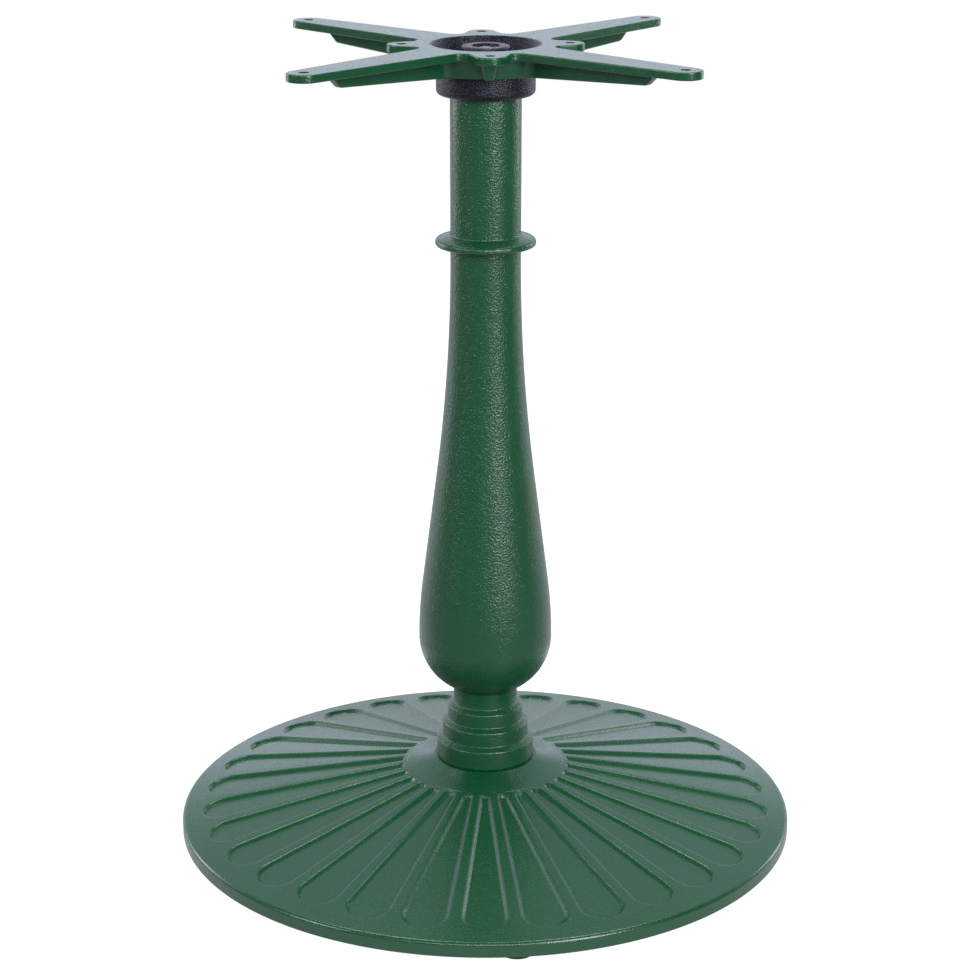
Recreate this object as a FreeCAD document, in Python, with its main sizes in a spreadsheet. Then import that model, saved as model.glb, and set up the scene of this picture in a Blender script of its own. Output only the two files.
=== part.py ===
import FreeCAD, Part
import math
import os
import Sketcher
from FreeCAD import Placement, Rotation, Vector

# Pedestal table base: fluted cast plate, baluster column, black collar, four-armed spider, tie-rod clamp
# Millimetres, Z up, origin on the floor under the column's axis, spider arms on the diagonals

doc = FreeCAD.newDocument("pedestal_base")
sheet = doc.addObject("Spreadsheet::Sheet", "sizes")

# Driving sizes: alias, value
DRIVING = [
    ("top_height", 720),
    # base plate
    ("rim_radius", 277.8),
    ("rim_edge_height", 19.8),
    ("rim_border", 18.3),
    ("rim_foot", 7),
    ("rim_round", 3.6),
    ("rim_wall", 8.5),
    ("rim_draft", 1),
    ("cone_angle", 11.7),
    ("hub_ring_radius", 75),
    ("seat_margin", 2.7),
    ("seat_rise", 9.2),
    ("plate_wall", 8),
    ("hub_boss_radius", 36),
    ("hub_boss_draft", 2),
    ("hub_boss_depth", 31),
    ("register_clearance", 0.2),
    ("register_height", 6),
    ("flute_count", 30),
    ("flute_half_angle", 4.62),
    ("flute_depth", 2.4),
    ("flute_inset", 0.8),
    ("flute_cutter_rise", 1),
    ("base_turn", 3.13),
    # glides
    ("glide_count", 4),
    ("glide_radius", 15),
    ("glide_height", 8.5),
    ("glide_rim_gap", 0.3),
    ("glide_foot_round", 1.6),
    ("glide_top_round", 0.8),
    ("glide_boss_radius", 14),
    ("glide_boss_cover", 1.4),
    ("screw_radius", 2),
    ("screw_thread_gap", 0.1),
    ("screw_pass_gap", 0.5),
    ("screw_length", 13),
    ("screw_tip_gap", 1),
    ("screw_head_radius", 4.4),
    ("screw_head_height", 2.6),
    ("screw_head_gap", 0.8),
    ("screw_recess_depth", 4),
    # column
    ("foot_collar_radius", 43.8),
    ("collar_step", 5),
    ("foot_collar_height", 21),
    ("middle_collar_height", 16.3),
    ("upper_collar_height", 15.7),
    ("neck_wall", 6.6),
    ("bulb_radius", 59.75),
    ("bulb_rise", 63.4),
    ("bulb_low_arc", 52.7),
    ("bulb_high_arc", 400),
    ("bulb_wall", 7.75),
    ("bulb_core_drop", 5.4),
    ("bulb_core_rise", 8.6),
    ("neck_core_drop", 39.4),
    ("taper_angle", 7.35),
    ("shaft_radius", 30.6),
    ("shaft_wall", 6.2),
    ("shaft_drop", 184.6),
    ("shaft_core_drop", 55.4),
    ("ring_radius", 43.7),
    ("ring_drop", 173.5),
    ("ring_foot_round", 1.4),
    ("ring_round", 2.5),
    ("ring_edge", 3.5),
    ("ring_top_angle", 17),
    # top collar
    ("cap_radius", 42.4),
    ("cap_height", 20),
    ("cap_roof", 7),
    ("cap_round", 4.5),
    ("cap_top_round", 1),
    ("cap_bore_clearance", 0.15),
    # spider
    ("hub_depth", 23),
    ("arm_plate", 7),
    ("arm_hole_circle", 213.7),
    ("arm_hole_radius", 4),
    ("arm_tip_radius", 14.2),
    ("arm_side_angle", 2.66),
    ("lug_hole_circle", 71.3),
    ("lug_hole_radius", 4),
    ("lug_tip_radius", 12.5),
    ("lug_side_angle", 18),
    ("notch_radius", 8),
    ("edge_round", 1.6),
    ("spider_turn", 45),
    ("opening_radius", 47.2),
    ("opening_round", 0.9),
    ("ledge_depth", 19),
    ("ledge_outer_radius", 39),
    ("ledge_width", 5),
    ("skirt_wall", 6.8),
    ("skirt_draft", 3.5),
    ("rib_blend", 8),
    ("rib_width", 8),
    ("rib_setback", 29.7),
    ("rib_end_slant", 8.5),
    ("rib_end_depth", 16.8),
    ("rib_root_reach", 6),
    ("stub_top_radius", 8.4),
    ("stub_hole_gap", 0.9),
    ("stub_foot_radius", 4.2),
    ("stub_foot_reach", 4),
    # clamp dish
    ("dish_clearance", 0.2),
    ("dish_lip_drop", 0.2),
    ("dish_lip_width", 1.2),
    ("dish_wall", 3.4),
    ("dish_floor", 4),
    ("boss_radius", 20.6),
    ("boss_drop", 1.6),
    ("boss_round", 2),
    ("boss_draft", 1.4),
    ("pocket_clearance", 3.5),
    ("pocket_depth", 13.4),
    # tie rod and fasteners
    ("rod_radius", 6),
    ("rod_chamfer", 1),
    ("rod_pass_gap", 0.6),
    ("rod_over", 1.8),
    ("rod_tail", 6.5),
    ("thread_clearance", 0.08),
    ("nut_width", 19),
    ("nut_height", 10),
    ("washer_radius", 20),
    ("washer_height", 3),
    ("spring_washer_radius", 10.5),
    ("spring_washer_height", 2.5),
]

# Derived sizes: alias, formula of the sizes above
DERIVED = [
    ("rod_hole_radius", "rod_radius + rod_pass_gap"),
    ("apex_height", "rim_edge_height + tan(cone_angle) * rim_radius"),
    ("hub_ring_height", "apex_height - tan(cone_angle) * hub_ring_radius"),
    ("seat_height", "hub_ring_height + seat_rise"),
    ("seat_radius", "foot_collar_radius + seat_margin"),
    ("hub_boss_foot", "seat_height - hub_boss_depth"),
    ("register_top", "seat_height + register_height"),
    ("flute_tip_radius", "rim_radius - rim_border"),
    ("flare_radius", "((hub_ring_radius - seat_radius) ^ 2 + seat_rise ^ 2)"
     " / (2 * (cos(cone_angle) * seat_rise - sin(cone_angle) * (hub_ring_radius - seat_radius)))"),
    ("rim_round_r", "rim_radius - rim_round"),
    ("rim_round_z", "apex_height - tan(cone_angle) * rim_round_r - rim_round / cos(cone_angle)"),
    ("rim_crest_r", "rim_round_r + rim_round * sin(cone_angle)"),
    ("rim_crest_z", "rim_round_z + rim_round * cos(cone_angle)"),
    ("rim_inner_r", "rim_radius - rim_wall"),
    ("rim_inner_foot_r", "rim_inner_r + rim_draft"),
    ("rim_inner_z", "apex_height - tan(cone_angle) * rim_inner_r - plate_wall"),
    ("hub_under_z", "apex_height - tan(cone_angle) * hub_boss_radius - plate_wall"),
    ("hub_boss_foot_r", "hub_boss_radius - hub_boss_draft"),
    ("flute_slant_angle", "atan(cos(cone_angle) * tan(flute_half_angle))"),
    ("flute_shift", "flute_cutter_rise * tan(cone_angle)"),
    ("flute_plane_z", "apex_height + flute_cutter_rise / cos(cone_angle)"),
    ("flute_cutter_depth", "flute_depth + flute_cutter_rise"),
    ("flute_round_x", "flute_tip_radius / cos(cone_angle) / (1 + sin(flute_slant_angle))"),
    ("flute_end_radius", "flute_round_x * sin(flute_slant_angle) - flute_inset"),
    ("flute_centre_x", "flute_round_x + flute_shift"),
    ("flute_in_x", "hub_ring_radius / cos(cone_angle) + flute_inset + flute_shift"),
    ("flute_in_y", "(flute_in_x - flute_shift) * tan(flute_slant_angle)"
     " - flute_inset / cos(flute_slant_angle)"),
    ("flute_side_x", "flute_centre_x - flute_end_radius * sin(flute_slant_angle)"),
    ("flute_side_y", "flute_end_radius * cos(flute_slant_angle)"),
    ("glide_circle_radius", "rim_inner_r - glide_radius - glide_rim_gap"),
    ("glide_boss_top", "apex_height - tan(cone_angle) * glide_circle_radius - flute_depth"
     " - glide_boss_cover"),
    ("glide_boss_height", "glide_boss_top - glide_height"),
    ("glide_flat_radius", "glide_radius - glide_foot_round"),
    ("glide_wall_top", "glide_height - glide_top_round"),
    ("glide_top_radius", "glide_radius - glide_top_round"),
    ("screw_tip", "screw_recess_depth + screw_length"),
    ("screw_hole_depth", "screw_tip + screw_tip_gap - glide_height"),
    ("screw_hole_radius", "screw_radius + screw_thread_gap"),
    ("screw_bore_radius", "screw_radius + screw_pass_gap"),
    ("screw_recess_radius", "screw_head_radius + screw_head_gap"),
    ("screw_head_foot", "screw_recess_depth - screw_head_height"),
    ("middle_collar_radius", "foot_collar_radius - collar_step"),
    ("upper_collar_radius", "middle_collar_radius - collar_step"),
    ("neck_radius", "upper_collar_radius - collar_step"),
    ("foot_collar_top", "seat_height + foot_collar_height"),
    ("middle_collar_top", "foot_collar_top + middle_collar_height"),
    ("upper_collar_top", "middle_collar_top + upper_collar_height"),
    ("foot_collar_wall", "foot_collar_top - collar_step"),
    ("middle_collar_wall", "middle_collar_top - collar_step"),
    ("upper_collar_wall", "upper_collar_top - collar_step"),
    ("foot_bore", "neck_radius - neck_wall"),
    ("register_radius", "foot_bore - register_clearance"),
    ("bulb_height", "upper_collar_top + bulb_rise"),
    ("neck_top", "bulb_height - sqrt(bulb_low_arc ^ 2 - (neck_radius - bulb_radius + bulb_low_arc) ^ 2)"),
    ("bulb_turn_r", "bulb_radius - bulb_high_arc * (1 - cos(taper_angle))"),
    ("bulb_turn_z", "bulb_height + bulb_high_arc * sin(taper_angle)"),
    ("shaft_start", "top_height - shaft_drop"),
    ("waist_arc", "(bulb_turn_r - shaft_radius - tan(taper_angle) * (shaft_start - bulb_turn_z))"
     " / (1 - cos(taper_angle) - tan(taper_angle) * sin(taper_angle))"),
    ("waist_r", "shaft_radius + waist_arc * (1 - cos(taper_angle))"),
    ("waist_z", "shaft_start - waist_arc * sin(taper_angle)"),
    ("bulb_core_radius", "bulb_radius - bulb_wall"),
    ("bulb_core_low", "bulb_height - bulb_core_drop"),
    ("bulb_core_high", "bulb_height + bulb_core_rise"),
    ("neck_core_top", "bulb_height - neck_core_drop"),
    ("shaft_core_radius", "shaft_radius - shaft_wall"),
    ("shaft_core_start", "shaft_start - shaft_core_drop"),
    ("ring_foot", "top_height - ring_drop"),
    ("ring_foot_r", "ring_radius - ring_foot_round"),
    ("ring_foot_z", "ring_foot + ring_foot_round"),
    ("ring_round_height", "ring_foot + ring_edge"),
    ("ring_crest_r", "ring_radius - ring_round + ring_round * sin(ring_top_angle)"),
    ("ring_crest_z", "ring_round_height + ring_round * cos(ring_top_angle)"),
    ("ring_top", "ring_crest_z + tan(ring_top_angle) * (ring_crest_r - shaft_radius)"),
    ("cap_top", "top_height - hub_depth"),
    ("cap_foot", "cap_top - cap_height"),
    ("column_top", "cap_top - cap_roof"),
    ("cap_bore", "shaft_radius + cap_bore_clearance"),
    ("cap_foot_r", "cap_radius - cap_round"),
    ("cap_foot_z", "cap_foot + cap_round"),
    ("cap_top_r", "cap_radius - cap_top_round"),
    ("cap_top_z", "cap_top - cap_top_round"),
    ("arm_foot", "top_height - arm_plate"),
    ("arm_reach", "arm_tip_radius + arm_hole_circle * sin(arm_side_angle)"),
    ("lug_reach", "lug_tip_radius + lug_hole_circle * sin(lug_side_angle)"),
    ("notch_turn", "45 + lug_side_angle"),
    ("notch_x", "((arm_reach + notch_radius) * cos(notch_turn) + (lug_reach + notch_radius)"
     " * cos(arm_side_angle)) / sin(notch_turn + arm_side_angle)"),
    ("notch_y", "((arm_reach + notch_radius) * sin(notch_turn) - (lug_reach + notch_radius)"
     " * sin(arm_side_angle)) / sin(notch_turn + arm_side_angle)"),
    ("notch_arm_x", "notch_x - notch_radius * sin(arm_side_angle)"),
    ("notch_arm_y", "notch_y - notch_radius * cos(arm_side_angle)"),
    ("notch_lug_x", "notch_x - notch_radius * sin(notch_turn)"),
    ("notch_lug_y", "notch_y + notch_radius * cos(notch_turn)"),
    ("arm_tip_x", "arm_hole_circle + arm_tip_radius * sin(arm_side_angle)"),
    ("arm_tip_y", "arm_tip_radius * cos(arm_side_angle)"),
    ("lug_side_x", "lug_hole_circle * cos(45) + lug_tip_radius * sin(notch_turn)"),
    ("lug_side_y", "lug_hole_circle * sin(45) - lug_tip_radius * cos(notch_turn)"),
    ("lug_end_x", "(lug_hole_circle + lug_tip_radius) * cos(45)"),
    ("ledge_height", "top_height - ledge_depth"),
    ("ledge_inner_radius", "ledge_outer_radius - ledge_width"),
    ("skirt_top_radius", "opening_radius + skirt_wall"),
    ("skirt_foot_radius", "skirt_top_radius - skirt_draft"),
    ("rib_end_z", "top_height - rib_end_depth"),
    ("rib_end_top", "arm_hole_circle - rib_setback"),
    ("rib_end_foot", "rib_end_top - rib_end_slant"),
    ("rib_root", "skirt_top_radius + rib_root_reach"),
    ("stub_top_centre", "lug_hole_circle - lug_hole_radius - stub_hole_gap - stub_top_radius"),
    ("stub_foot_centre", "skirt_foot_radius + stub_foot_reach"),
    ("opening_round_z", "top_height - opening_round"),
    ("opening_round_r", "opening_radius + opening_round"),
    ("dish_lip", "opening_round_z - dish_lip_drop"),
    ("dish_slope", "(opening_radius - ledge_outer_radius) / (opening_round_z - ledge_height)"),
    ("dish_foot_r", "ledge_outer_radius - dish_clearance"),
    ("dish_lip_r", "dish_foot_r + dish_slope * (dish_lip - ledge_height)"),
    ("dish_lip_inner", "dish_lip_r - dish_lip_width"),
    ("dish_floor_z", "ledge_height + dish_floor"),
    ("dish_floor_r", "dish_foot_r + dish_slope * dish_floor - dish_wall"),
    ("boss_top", "top_height - boss_drop"),
    ("boss_round_r", "boss_radius - boss_round"),
    ("boss_round_z", "boss_top - boss_round"),
    ("boss_foot_r", "boss_radius + boss_draft"),
    ("pocket_width", "nut_width + pocket_clearance"),
    ("pocket_floor", "boss_top - pocket_depth"),
    ("rod_top", "pocket_floor + nut_height + rod_over"),
    ("rod_top_wall", "rod_top - rod_chamfer"),
    ("rod_tip_radius", "rod_radius - rod_chamfer"),
    ("thread_bore", "rod_radius + thread_clearance"),
    ("washer_foot", "hub_boss_foot - washer_height"),
    ("spring_washer_foot", "washer_foot - spring_washer_height"),
    ("lower_nut_foot", "spring_washer_foot - nut_height"),
    ("rod_foot", "lower_nut_foot - rod_tail"),
    ("rod_foot_wall", "rod_foot + rod_chamfer"),
]

row = 1
for alias, value in DRIVING:
    sheet.set("A%d" % row, alias)
    sheet.set("B%d" % row, str(value))
    sheet.setAlias("B%d" % row, alias)
    row += 1
for alias, formula in DERIVED:
    sheet.set("A%d" % row, alias)
    sheet.set("B%d" % row, "=" + formula)
    sheet.setAlias("B%d" % row, alias)
    row += 1
doc.recompute()


def val(alias):
    """Value of a named size, in mm or degrees."""
    got = sheet.get(alias)
    return float(getattr(got, "Value", got))


def new_body(name):
    return doc.addObject("PartDesign::Body", name)


def plane_of(body, role):
    return [f for f in body.Origin.OriginFeatures if f.Role == role][0]


def new_sketch(body, name, role, offset=None):
    """A sketch on one of the body's own planes, raised by a named size where one is given."""
    sketch = body.newObject("Sketcher::SketchObject", name)
    sketch.AttachmentSupport = [(plane_of(body, role), "")]
    sketch.MapMode = "FlatFace"
    if offset:
        sketch.AttachmentOffset = Placement(Vector(0, 0, val(offset)), Rotation())
        sketch.setExpression("AttachmentOffset.Base.z", "sizes." + offset)
    return sketch


def add_dimension(sketch, kind, refs, alias):
    """A constraint whose value is a named size."""
    index = sketch.addConstraint(Sketcher.Constraint(kind, *refs, val(alias)))
    label = "%s_%d" % (alias, index)
    sketch.renameConstraint(index, label)
    sketch.setExpression("Constraints." + label, "sizes." + alias)


def fix_point(sketch, geo, pos, corner):
    """Pins a point to two named sizes, or to an axis where the name is None."""
    x_name, y_name = corner
    if x_name is None:
        sketch.addConstraint(Sketcher.Constraint("PointOnObject", geo, pos, -2))
    else:
        add_dimension(sketch, "DistanceX", (-1, 1, geo, pos), x_name)
    if y_name is None:
        sketch.addConstraint(Sketcher.Constraint("PointOnObject", geo, pos, -1))
    else:
        add_dimension(sketch, "DistanceY", (-1, 1, geo, pos), y_name)


def point_of(corner):
    return Vector(0 if corner[0] is None else val(corner[0]), 0 if corner[1] is None else val(corner[1]), 0)


def arc_between(start, end, radius, side):
    """Arc from start to end; side +1 bulges to the right of the way, -1 to the left."""
    chord = end - start
    half = chord.Length / 2
    normal = Vector(-chord.y, chord.x, 0).normalize()
    centre = (start + end) * 0.5 + normal * (side * math.sqrt(max(radius * radius - half * half, 0)))
    from_angle = math.atan2(start.y - centre.y, start.x - centre.x)
    to_angle = math.atan2(end.y - centre.y, end.x - centre.x)
    circle = Part.Circle(centre, Vector(0, 0, 1), radius)
    if side > 0:
        return Part.ArcOfCircle(circle, from_angle, to_angle), 1, 2
    return Part.ArcOfCircle(circle, to_angle, from_angle), 2, 1


def closed_outline(sketch, corners, arcs, mirrored=0):
    """Closed loop through corners; arcs maps a segment to (radius name, side), with the name of
    its centre's distance where the centre lies on the horizontal axis; the last `mirrored`
    corners repeat the first ones across that axis."""
    count = len(corners)
    points = [point_of(c) for c in corners]
    for k in range(mirrored):
        points[count - 1 - k] = Vector(points[k + 1].x, -points[k + 1].y, 0)
    ends = []
    for k in range(count):
        start, end = points[k], points[(k + 1) % count]
        if k in arcs:
            curve, first, last = arc_between(start, end, val(arcs[k][0]), arcs[k][1])
            geo = sketch.addGeometry(curve, False)
        else:
            geo = sketch.addGeometry(Part.LineSegment(start, end), False)
            first, last = 1, 2
        ends.append((geo, first, last))
    for k in range(count):
        after = ends[(k + 1) % count]
        sketch.addConstraint(Sketcher.Constraint("Coincident", ends[k][0], ends[k][2], after[0], after[1]))
    for k in range(count - mirrored):
        fix_point(sketch, ends[k][0], ends[k][1], corners[k])
    for k in range(mirrored):
        one, two = ends[k + 1], ends[count - 1 - k]
        sketch.addConstraint(Sketcher.Constraint("Symmetric", one[0], one[1], two[0], two[1], -1))
    for k in arcs:
        if len(arcs[k]) == 3:
            add_dimension(sketch, "DistanceX", (-1, 1, ends[k][0], 3), arcs[k][2])
        else:
            add_dimension(sketch, "Radius", (ends[k][0],), arcs[k][0])


def disc(sketch, radius, x_name=None, y_name=None):
    """A circle of named radius, centred on named sizes or on the axes."""
    centre = point_of((x_name, y_name))
    geo = sketch.addGeometry(Part.Circle(centre, Vector(0, 0, 1), val(radius)), False)
    if x_name is None and y_name is None:
        sketch.addConstraint(Sketcher.Constraint("Coincident", geo, 3, -1, 1))
    else:
        fix_point(sketch, geo, 3, (x_name, y_name))
    add_dimension(sketch, "Radius", (geo,), radius)


def hexagon(sketch, width):
    """A regular hexagon of named width across flats, two corners on the horizontal axis."""
    across = val(width) / math.sqrt(3)
    geos = []
    for k in range(6):
        a, b = math.radians(60 * k), math.radians(60 * k + 60)
        start = Vector(across * math.cos(a), across * math.sin(a), 0)
        end = Vector(across * math.cos(b), across * math.sin(b), 0)
        geos.append(sketch.addGeometry(Part.LineSegment(start, end), False))
    guide = sketch.addGeometry(Part.Circle(Vector(), Vector(0, 0, 1), across), True)
    sketch.addConstraint(Sketcher.Constraint("Coincident", guide, 3, -1, 1))
    for k in range(6):
        sketch.addConstraint(Sketcher.Constraint("Coincident", geos[k], 2, geos[(k + 1) % 6], 1))
        sketch.addConstraint(Sketcher.Constraint("PointOnObject", geos[k], 1, guide))
    for k in range(5):
        sketch.addConstraint(Sketcher.Constraint("Equal", geos[k], geos[k + 1]))
    sketch.addConstraint(Sketcher.Constraint("PointOnObject", geos[0], 1, -1))
    index = sketch.addConstraint(Sketcher.Constraint("Radius", guide, across))
    sketch.renameConstraint(index, "corner_radius")
    sketch.setExpression("Constraints.corner_radius", "sizes." + width + " / sqrt(3)")


def revolve(body, name, sketch, cut=False):
    kind = "PartDesign::Groove" if cut else "PartDesign::Revolution"
    feature = body.newObject(kind, name)
    feature.Profile = sketch
    feature.ReferenceAxis = (sketch, ["V_Axis"])
    feature.Angle = 360
    sketch.Visibility = False
    doc.recompute()
    return feature


def pad(body, name, sketch, length, midplane=False):
    feature = body.newObject("PartDesign::Pad", name)
    feature.Profile = sketch
    feature.setExpression("Length", "sizes." + length)
    if midplane:
        feature.SideType = "Symmetric"
    sketch.Visibility = False
    doc.recompute()
    return feature


def pocket(body, name, sketch, depth=None, upward=False):
    feature = body.newObject("PartDesign::Pocket", name)
    feature.Profile = sketch
    if depth:
        feature.setExpression("Length", "sizes." + depth)
    else:
        feature.Type = "ThroughAll"
    feature.Reversed = upward
    sketch.Visibility = False
    doc.recompute()
    return feature


def ring_of(body, name, originals, count):
    """Repeats features round the vertical axis."""
    feature = body.newObject("PartDesign::PolarPattern", name)
    feature.Originals = originals
    feature.Axis = (plane_of(body, "Z_Axis"), [""])
    feature.Angle = 360
    feature.setExpression("Occurrences", count)
    body.Tip = feature
    doc.recompute()
    return feature


def turn(body, alias):
    """Turns a whole body about the vertical axis by a named angle."""
    body.Placement = Placement(Vector(), Rotation(Vector(0, 0, 1), val(alias)))
    body.setExpression("Placement.Rotation.Angle", "sizes." + alias)


# Base plate: shell of revolution, flutes, glide bosses and screw holes
base = new_body("base_plate")
profile = new_sketch(base, "plate_profile", "YZ_Plane")
closed_outline(profile, [
    ("rod_hole_radius", "hub_boss_foot"),
    ("hub_boss_foot_r", "hub_boss_foot"),
    ("hub_boss_radius", "hub_under_z"),
    ("rim_inner_r", "rim_inner_z"),
    ("rim_inner_foot_r", "rim_foot"),
    ("rim_radius", "rim_foot"),
    ("rim_radius", "rim_round_z"),
    ("rim_crest_r", "rim_crest_z"),
    ("hub_ring_radius", "hub_ring_height"),
    ("seat_radius", "seat_height"),
    ("register_radius", "seat_height"),
    ("register_radius", "register_top"),
    ("rod_hole_radius", "register_top"),
], {6: ("rim_round", 1), 8: ("flare_radius", -1)})
revolve(base, "plate_shell", profile)

flute = new_sketch(base, "flute_outline", "XY_Plane")
tilt = Rotation(Vector(0, 1, 0), val("cone_angle"))
flute.AttachmentOffset = Placement(Vector(0, 0, val("flute_plane_z")), tilt)
flute.setExpression("AttachmentOffset.Base.z", "sizes.flute_plane_z")
flute.setExpression("AttachmentOffset.Rotation.Angle", "sizes.cone_angle")
closed_outline(flute, [
    ("flute_in_x", None),
    ("flute_in_x", "flute_in_y"),
    ("flute_side_x", "flute_side_y"),
    ("flute_side_x", "flute_side_y"),
    ("flute_in_x", "flute_in_y"),
], {2: ("flute_end_radius", -1, "flute_centre_x")}, mirrored=2)
flute_cut = pocket(base, "flute", flute, "flute_cutter_depth")
ring_of(base, "flutes", [flute_cut], "sizes.flute_count")

boss = new_sketch(base, "glide_boss_outline", "XY_Plane", "glide_height")
disc(boss, "glide_boss_radius", "glide_circle_radius", None)
boss_pad = pad(base, "glide_boss", boss, "glide_boss_height")
hole = new_sketch(base, "glide_screw_hole_outline", "XY_Plane", "glide_height")
disc(hole, "screw_hole_radius", "glide_circle_radius", None)
ring_of(base, "glide_bosses", [boss_pad], "sizes.glide_count")
hole_cut = pocket(base, "glide_screw_hole", hole, "screw_hole_depth", upward=True)
ring_of(base, "glide_screw_holes", [hole_cut], "sizes.glide_count")
turn(base, "base_turn")

# Column: three stepped collars, neck, bulb, taper, flange ring and shaft, cored through
column = new_body("column")
profile = new_sketch(column, "column_profile", "XZ_Plane")
closed_outline(profile, [
    ("foot_bore", "seat_height"),
    ("foot_collar_radius", "seat_height"),
    ("foot_collar_radius", "foot_collar_wall"),
    ("middle_collar_radius", "foot_collar_top"),
    ("middle_collar_radius", "middle_collar_wall"),
    ("upper_collar_radius", "middle_collar_top"),
    ("upper_collar_radius", "upper_collar_wall"),
    ("neck_radius", "upper_collar_top"),
    ("neck_radius", "neck_top"),
    ("bulb_radius", "bulb_height"),
    ("bulb_turn_r", "bulb_turn_z"),
    ("waist_r", "waist_z"),
    ("shaft_radius", "shaft_start"),
    ("shaft_radius", "ring_foot"),
    ("ring_foot_r", "ring_foot"),
    ("ring_radius", "ring_foot_z"),
    ("ring_radius", "ring_round_height"),
    ("ring_crest_r", "ring_crest_z"),
    ("shaft_radius", "ring_top"),
    ("shaft_radius", "column_top"),
    ("shaft_core_radius", "column_top"),
    ("shaft_core_radius", "shaft_core_start"),
    ("bulb_core_radius", "bulb_core_high"),
    ("bulb_core_radius", "bulb_core_low"),
    ("foot_bore", "neck_core_top"),
], {
    2: ("collar_step", 1),
    4: ("collar_step", 1),
    6: ("collar_step", 1),
    8: ("bulb_low_arc", 1),
    9: ("bulb_high_arc", 1),
    11: ("waist_arc", -1),
    14: ("ring_foot_round", 1),
    16: ("ring_round", 1),
})
revolve(column, "column_casting", profile)

# Top collar: black cap over the column's end, spider's seat on top
cap = new_body("top_collar")
profile = new_sketch(cap, "collar_profile", "XZ_Plane")
closed_outline(profile, [
    ("rod_hole_radius", "column_top"),
    ("cap_bore", "column_top"),
    ("cap_bore", "cap_foot"),
    ("cap_foot_r", "cap_foot"),
    ("cap_radius", "cap_foot_z"),
    ("cap_radius", "cap_top_z"),
    ("cap_top_r", "cap_top"),
    ("rod_hole_radius", "cap_top"),
], {3: ("cap_round", 1), 5: ("cap_top_round", 1)})
revolve(cap, "collar_ring", profile)

# Spider: arm and lug plate, hub skirt, ribs, lug stubs, conical bore and holes
spider = new_body("spider")
outline = new_sketch(spider, "quarter_outline", "XY_Plane", "arm_foot")
closed_outline(outline, [
    (None, None),
    ("lug_end_x", "lug_end_x"),
    ("lug_side_x", "lug_side_y"),
    ("notch_lug_x", "notch_lug_y"),
    ("notch_arm_x", "notch_arm_y"),
    ("arm_tip_x", "arm_tip_y"),
    ("arm_tip_x", "arm_tip_y"),
    ("notch_arm_x", "notch_arm_y"),
    ("notch_lug_x", "notch_lug_y"),
    ("lug_side_x", "lug_side_y"),
    ("lug_end_x", "lug_end_x"),
], {
    1: ("lug_tip_radius", -1),
    3: ("notch_radius", 1),
    5: ("arm_tip_radius", -1, "arm_hole_circle"),
    7: ("notch_radius", 1),
    9: ("lug_tip_radius", -1),
}, mirrored=5)
quarter = pad(spider, "quarter_plate", outline, "arm_plate")
ring_of(spider, "star_plate", [quarter], "4")

# rounded edges of the plate, top and bottom
star = spider.Tip
rims = []
for number, edge in enumerate(star.Shape.Edges, 1):
    box = edge.BoundBox
    flat = box.ZLength < 0.01
    middle = edge.valueAt((edge.FirstParameter + edge.LastParameter) / 2)
    if flat and math.hypot(middle.x, middle.y) > val("ledge_inner_radius"):
        rims.append("Edge%d" % number)
rounding = spider.newObject("PartDesign::Fillet", "plate_rounding")
rounding.Base = (star, rims)
rounding.setExpression("Radius", "sizes.edge_round")
spider.Tip = rounding
doc.recompute()

skirt = new_sketch(spider, "skirt_profile", "XZ_Plane")
closed_outline(skirt, [
    (None, "cap_top"),
    ("skirt_foot_radius", "cap_top"),
    ("skirt_top_radius", "arm_foot"),
    ("skirt_top_radius", "opening_round_z"),
    (None, "opening_round_z"),
], {})
revolve(spider, "hub_skirt", skirt)

rib = new_sketch(spider, "rib_profile", "XZ_Plane")
closed_outline(rib, [
    ("ledge_outer_radius", "cap_top"),
    ("rib_root", "cap_top"),
    ("rib_end_foot", "rib_end_z"),
    ("rib_end_top", "arm_foot"),
    ("ledge_outer_radius", "arm_foot"),
], {})
rib_pad = pad(spider, "rib", rib, "rib_width", midplane=True)
ring_of(spider, "ribs", [rib_pad], "4")

# rounded blends where the ribs' sides run into the hub skirt
doc.recompute()
ribbed = spider.Tip
half_rib = val("rib_width") / 2
skirt_height = val("arm_foot") - val("cap_top")
roots = []
for number, edge in enumerate(ribbed.Shape.Edges, 1):
    ends = [vertex.Point for vertex in edge.Vertexes]
    beside = all(abs(min(abs(end.x), abs(end.y)) - half_rib) < 1e-3 for end in ends)
    if len(ends) == 2 and beside and edge.BoundBox.ZLength > 0.9 * skirt_height:
        roots.append("Edge%d" % number)
blends = spider.newObject("PartDesign::Fillet", "rib_blends")
blends.Base = (ribbed, roots)
blends.setExpression("Radius", "sizes.rib_blend")
spider.Tip = blends
doc.recompute()
print("rib blends on %d edges: %s" % (len(roots), blends.State))


def stub_outline(name, height, radius, centre):
    """Half-round outline on the arm axis, run back into the hub."""
    sketch = new_sketch(spider, name, "XY_Plane", height)
    closed_outline(sketch, [
        ("ledge_outer_radius", None),
        ("ledge_outer_radius", radius),
        (centre, radius),
        (centre, radius),
        ("ledge_outer_radius", radius),
    ], {2: (radius, -1, centre)}, mirrored=2)
    return sketch


stub_top = stub_outline("stub_top_outline", "arm_foot", "stub_top_radius", "stub_top_centre")
stub_foot = stub_outline("stub_foot_outline", "cap_top", "stub_foot_radius", "stub_foot_centre")
for part_sketch in (stub_top, stub_foot):
    offset = part_sketch.AttachmentOffset
    part_sketch.AttachmentOffset = Placement(offset.Base, Rotation(Vector(0, 0, 1), 45))
stub = spider.newObject("PartDesign::AdditiveLoft", "lug_stub")
stub.Profile = stub_top
stub.Sections = [stub_foot]
stub.Ruled = True
doc.recompute()
ring_of(spider, "lug_stubs", [stub], "4")

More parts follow.
